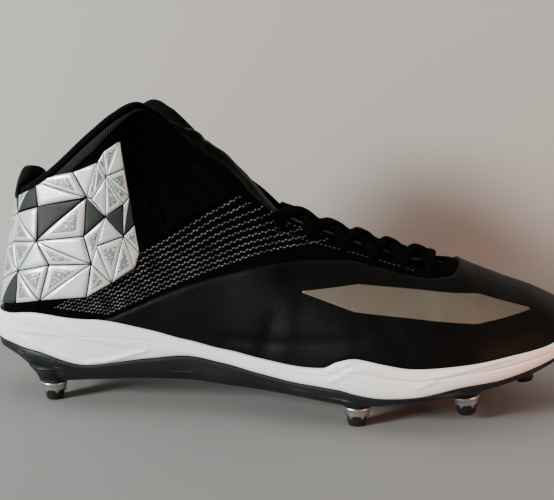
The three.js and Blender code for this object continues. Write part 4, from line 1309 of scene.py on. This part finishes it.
def make_footbed():
    edge = UPPER_INSET + WALL + CLEARANCE
    rings = [ring(edge + inward, lambda loop: bed_z(loop) + CLEARANCE + rise) for inward, rise in BED_PROFILE]
    piece = add_piece("footbed", ring_stack(rings), BED_CLOTH, "insole", weld=FINE_WELD)
    set_uv(piece, np.array([v.co[:2] for v in piece.data.vertices]) * 1000)


# Plate with its bosses, and the studs: share of LENGTH, share of BALL_WIDTH, rise of the tip as
# a share of TOE_RISE, and degrees of lean.
STUDS = {
    "heel_outer": (0.118, -0.185, 0, 0),
    "heel_inner": (0.118, 0.185, 0, 0),
    "ball_outer": (0.633, -0.376, 0, 0),
    "ball_inner": (0.655, 0.34, 0, 0),
    "front_outer": (0.807, -0.262, 0.13, 7),
    "front_inner": (0.815, 0.32, 0.14, 7),
    "toe": (0.912, 0.078, 0.37, 12),
}
STUD_FLANGE = 13.4
STUD_WAIST = 11.4
STUD_TIP = 8.6
BASE_TALL = 4.2
BOSS_WIDTH = 25.0
BOSS_FOOT_WIDTH = 15.0
BOSS_POWER = 1.3
BOSS_EDGE = 0.8
BOSS_STEPS = np.linspace(0.15, 1, 8)
PLATE_ROUND = 1.15
PLATE_EDGE = 1.04
PLATE_DROP = 0.1
# Rings of the plate's side: share of the inset, or inset, and share of the height
PLATE_LOW = [(1, 0.02), (0.86, 0.08), (0.6, 0.25), (0.4, 0.5)]
PLATE_HIGH = [(SEAM_INSET * 1.3, 0.8), (SEAM_INSET, 0.97), (SEAM_INSET + 0.6, 1)]
LATHE_SIDES = 40
SKIRT_SIDES = 72
PRONGS = 6
PRONG_TALL = 1.5
SKIRT_LOW = STUD_TALL - BASE_TALL
SKIRT_PROFILE = [
    (0.5, SKIRT_LOW + 0.6), (STUD_WAIST / 2 - 0.3, SKIRT_LOW + 0.6), (STUD_WAIST / 2 - 0.1, SKIRT_LOW),
    (STUD_WAIST / 2 + 0.15, SKIRT_LOW), (STUD_WAIST / 2 + 0.3, SKIRT_LOW + 0.8),
    (STUD_FLANGE / 2 - 0.4, STUD_TALL - 1.6), (STUD_FLANGE / 2, STUD_TALL - 1.1),
    (STUD_FLANGE / 2, STUD_TALL - 0.3), (STUD_FLANGE / 2 - 0.3, STUD_TALL), (0.5, STUD_TALL),
]
TIP_HEAD = SKIRT_LOW - CLEARANCE
TIP_PROFILE = [
    (0.5, 0), (STUD_TIP / 2 - 1.2, 0), (STUD_TIP / 2 - 0.4, 0.15), (STUD_TIP / 2, 0.7),
    (STUD_TIP / 2 + 0.3, TIP_HEAD * 0.4), (STUD_WAIST / 2 - 0.8, TIP_HEAD - 0.4),
    (STUD_WAIST / 2 - 0.75, TIP_HEAD), (STUD_WAIST / 2 - 0.7, SKIRT_LOW + 0.3), (0.5, SKIRT_LOW + 0.3),
]


def lathed(profile, sides=LATHE_SIDES, wave=None):
    """A closed turned form: rows of (radius, height) from the bottom's middle to the top's."""
    angle = 2 * math.pi * np.arange(sides) / sides
    rows = []
    for radius, height in profile:
        z = np.full(sides, float(height))
        if wave:
            z = wave(angle, z)
        rows.append(np.stack([radius * np.cos(angle), radius * np.sin(angle), z], -1))
    points = np.stack(rows, 1)
    count = len(profile)
    faces = grid_faces(sides, count, closed_rows=True)
    faces.append(tuple(i * count for i in reversed(range(sides))))
    faces.append(tuple(i * count + count - 1 for i in range(sides)))
    return points, faces


def placed(points, stud):
    at, side, sink, tilt = stud
    points = np.asarray(points, float).reshape(-1, 3)
    lean = math.radians(tilt)
    x = points[:, 0] * math.cos(lean) - points[:, 2] * math.sin(lean)
    z = points[:, 0] * math.sin(lean) + points[:, 2] * math.cos(lean)
    return np.stack([x + LENGTH * at, points[:, 1] + BALL_WIDTH * side, z + TOE_RISE * sink], -1)


def boss(stud):
    """The cone between a stud and the plate's side."""
    loop = loop_of(stud[0])
    foot = STUD_TALL + CLEARANCE
    head = (seam_z(loop) + plate_z(loop)) / 2 - TOE_RISE * stud[2]
    low, high = BOSS_FOOT_WIDTH / 2, BOSS_WIDTH / 2
    profile = [(0.5, foot), (low - BOSS_EDGE, foot), (low - 0.2, foot + 0.2), (low, foot + BOSS_EDGE)]
    profile += [
        (low + (high - low) * t**BOSS_POWER, foot + BOSS_EDGE + (head - foot - BOSS_EDGE) * t)
        for t in BOSS_STEPS
    ]
    points, faces = lathed([*profile, (0.5, head)])
    return placed(points, stud), faces


def make_plate():
    def side_z(up):
        return lambda loop: plate_z(loop) + up * (seam_z(loop) - CLEARANCE - plate_z(loop))

    def pinched(share):
        return lambda loop: share * PLATE_INSET * SOLE["pinch"](loop)

    def belly_inset(loop):
        return np.maximum(PLATE_MIDDLE_INSET, PLATE_ROUND * PLATE_INSET * SOLE["pinch"](loop))

    def belly_z(loop):
        return plate_z(loop) - PLATE_BELLY * TOE_RISE * SOLE["plate"](loop)

    rings = [ring(belly_inset, belly_z), ring(pinched(PLATE_EDGE), lambda loop: plate_z(loop) - PLATE_DROP)]
    rings += [ring(pinched(share), side_z(up)) for share, up in PLATE_LOW]
    rings += [ring(inward, side_z(up)) for inward, up in PLATE_HIGH]
    shape = joined([ring_stack(rings), *(boss(stud) for stud in STUDS.values())])
    add_piece("plate", shape, PLATE_BLACK, "outsole", weld=FINE_WELD)


def prongs(angle, z):
    """Six points of a stud's metal skirt that hang over its tip."""
    hang = np.maximum(0, np.cos(angle * PRONGS)) ** 2 * PRONG_TALL
    return np.where(z < SKIRT_LOW + 0.4, z - hang, z)


def make_studs():
    skirt, skirt_faces = lathed(SKIRT_PROFILE, SKIRT_SIDES, prongs)
    tip, tip_faces = lathed(TIP_PROFILE)
    for name, stud in STUDS.items():
        base = (placed(skirt, stud), skirt_faces)
        add_piece("stud_skirt_" + name, base, STEEL, "stud_base_" + name)
        end = (placed(tip, stud), tip_faces)
        add_piece("stud_end_" + name, end, TIP_BLACK, "stud_tip_" + name)


# Stage: a grey table that curves up into a pale wall close behind, a window light and the camera
WALL_AT = 0.155
COVE = 0.05
STAGE_HALF = 12.0
STAGE_TALL = 4.0
STAGE_GAP = 0.0002
COVE_STEPS = 18
WALL_PAINT = (0.45, 0.437, 0.413)
TABLE_PAINT = (0.29, 0.295, 0.295)


def stage_paint(name):
    paint = Paint(name)
    height = paint.node("SeparateXYZ", {"Vector": paint.place()})["Z"]
    paint.put(paint.shader, {
        "Base Color": paint.ramp(height, [(0.0, TABLE_PAINT), (COVE, WALL_PAINT)]),
        "Roughness": 0.7,
        "Specular IOR Level": 0.3,
    })
    return paint


def stage_sheet(name, profile, material):
    points = [(x, y, z) for y, z in profile for x in (-STAGE_HALF, STAGE_HALF)]
    faces = [(2 * i, 2 * i + 1, 2 * i + 3, 2 * i + 2) for i in range(len(profile) - 1)]
    new_object(name, points, faces, material)


def make_stage():
    """The floor, and a wall whose back is clear, so that the views from behind see past it."""
    stage_sheet("floor", [(-STAGE_HALF, 0.0), (STAGE_HALF, 0.0)], stage_paint("table_paint").material)
    paint = stage_paint("wall_paint")
    sides = {
        "Fac": paint.node("NewGeometry", {})["Backfacing"],
        1: paint.shader.outputs["BSDF"],
        2: paint.node("BsdfTransparent", {})["BSDF"],
    }
    surface = {"Surface": paint.node("MixShader", sides)["Shader"]}
    paint.put(paint.tree.nodes["Material Output"], surface)
    profile = [
        (WALL_AT - COVE + COVE * math.sin(a), STAGE_GAP + COVE - COVE * math.cos(a))
        for a in np.linspace(0, math.pi / 2, COVE_STEPS)
    ]
    stage_sheet("wall", [*profile, (WALL_AT, STAGE_TALL)], paint.material)


def add_light(name, place, aim, size, power, color):
    light = bpy.data.lights.new(name, "AREA")
    light.shape = "RECTANGLE"
    light.size, light.size_y = size
    light.energy = power
    light.color = color
    lamp = bpy.data.objects.new(name, light)
    lamp.location = place
    direction = np.array(aim, float) - np.array(place, float)
    yaw = math.atan2(direction[1], direction[0]) - math.pi / 2
    pitch = math.atan2(direction[2], math.hypot(direction[0], direction[1]))
    lamp.rotation_euler = (math.pi / 2 + pitch, 0, yaw)
    bpy.context.scene.collection.objects.link(lamp)


def make_lights():
    add_light("window", (-1.4, -1.15, 0.56), (0, 0, 0.08), (0.42, 0.42), 56, (0.99, 1.0, 0.965))
    add_light("top_soft", (-0.2, -0.1, 1.3), (0, 0.05, 0), (1.2, 1.2), 4, (1, 1, 1))
    add_light("warm_low", (0.3, -0.17, 0.05), (0.15, -0.02, 0.03), (0.1, 0.05), 0.32, (1.0, 0.3, 0.14))
    add_light("warm_side", (1.3, -0.5, 0.45), (0.2, 0.1, 0.08), (0.5, 0.5), 2.3, (1.0, 0.78, 0.5))
    add_light("right_soft", (0.46, -0.16, 0.42), (0.3, 0.155, 0.16), (0.2, 0.2), 0.2, (1.0, 0.97, 0.9))
    add_light("back_soft", (0.1, 1.1, 0.8), (0, 0, 0.08), (0.8, 0.5), 5, (1, 1, 1))
    world = bpy.data.worlds.new("world")
    world.use_nodes = True
    sky = world.node_tree.nodes["Background"].inputs
    sky["Color"].default_value = (0.76, 0.76, 0.75, 1)
    sky["Strength"].default_value = 0.3
    bpy.context.scene.world = world


# The camera that was fitted to the photo
CAMERA_PLACE = np.array([204.8, -474.0, 168.5])
CAMERA_TURN = math.radians(6.61)
CAMERA_DOWN = math.radians(10.85)
SENSOR_WIDTH = 36
CAMERA_FOCUS = 950 / 554 * SENSOR_WIDTH
CLIP_START = 0.01


def make_camera():
    data = bpy.data.cameras.new("camera")
    data.lens = CAMERA_FOCUS
    data.sensor_width = SENSOR_WIDTH
    data.clip_start = CLIP_START
    camera = bpy.data.objects.new("camera", data)
    camera.location = to_metres(CAMERA_PLACE)[0]
    camera.rotation_euler = (math.pi / 2 - CAMERA_DOWN, 0, CAMERA_TURN)
    bpy.context.scene.collection.objects.link(camera)
    bpy.context.scene.camera = camera


make_camera()
make_upper()
make_forefoot_skin()
make_ankle_skin()
make_knit()
make_ribs()
make_print()
make_mark()
make_cuff()
make_tab()
make_tongue()
make_laces()
make_eyelets()
make_midsole()
make_footbed()
make_plate()
make_studs()
make_stage()
make_lights()
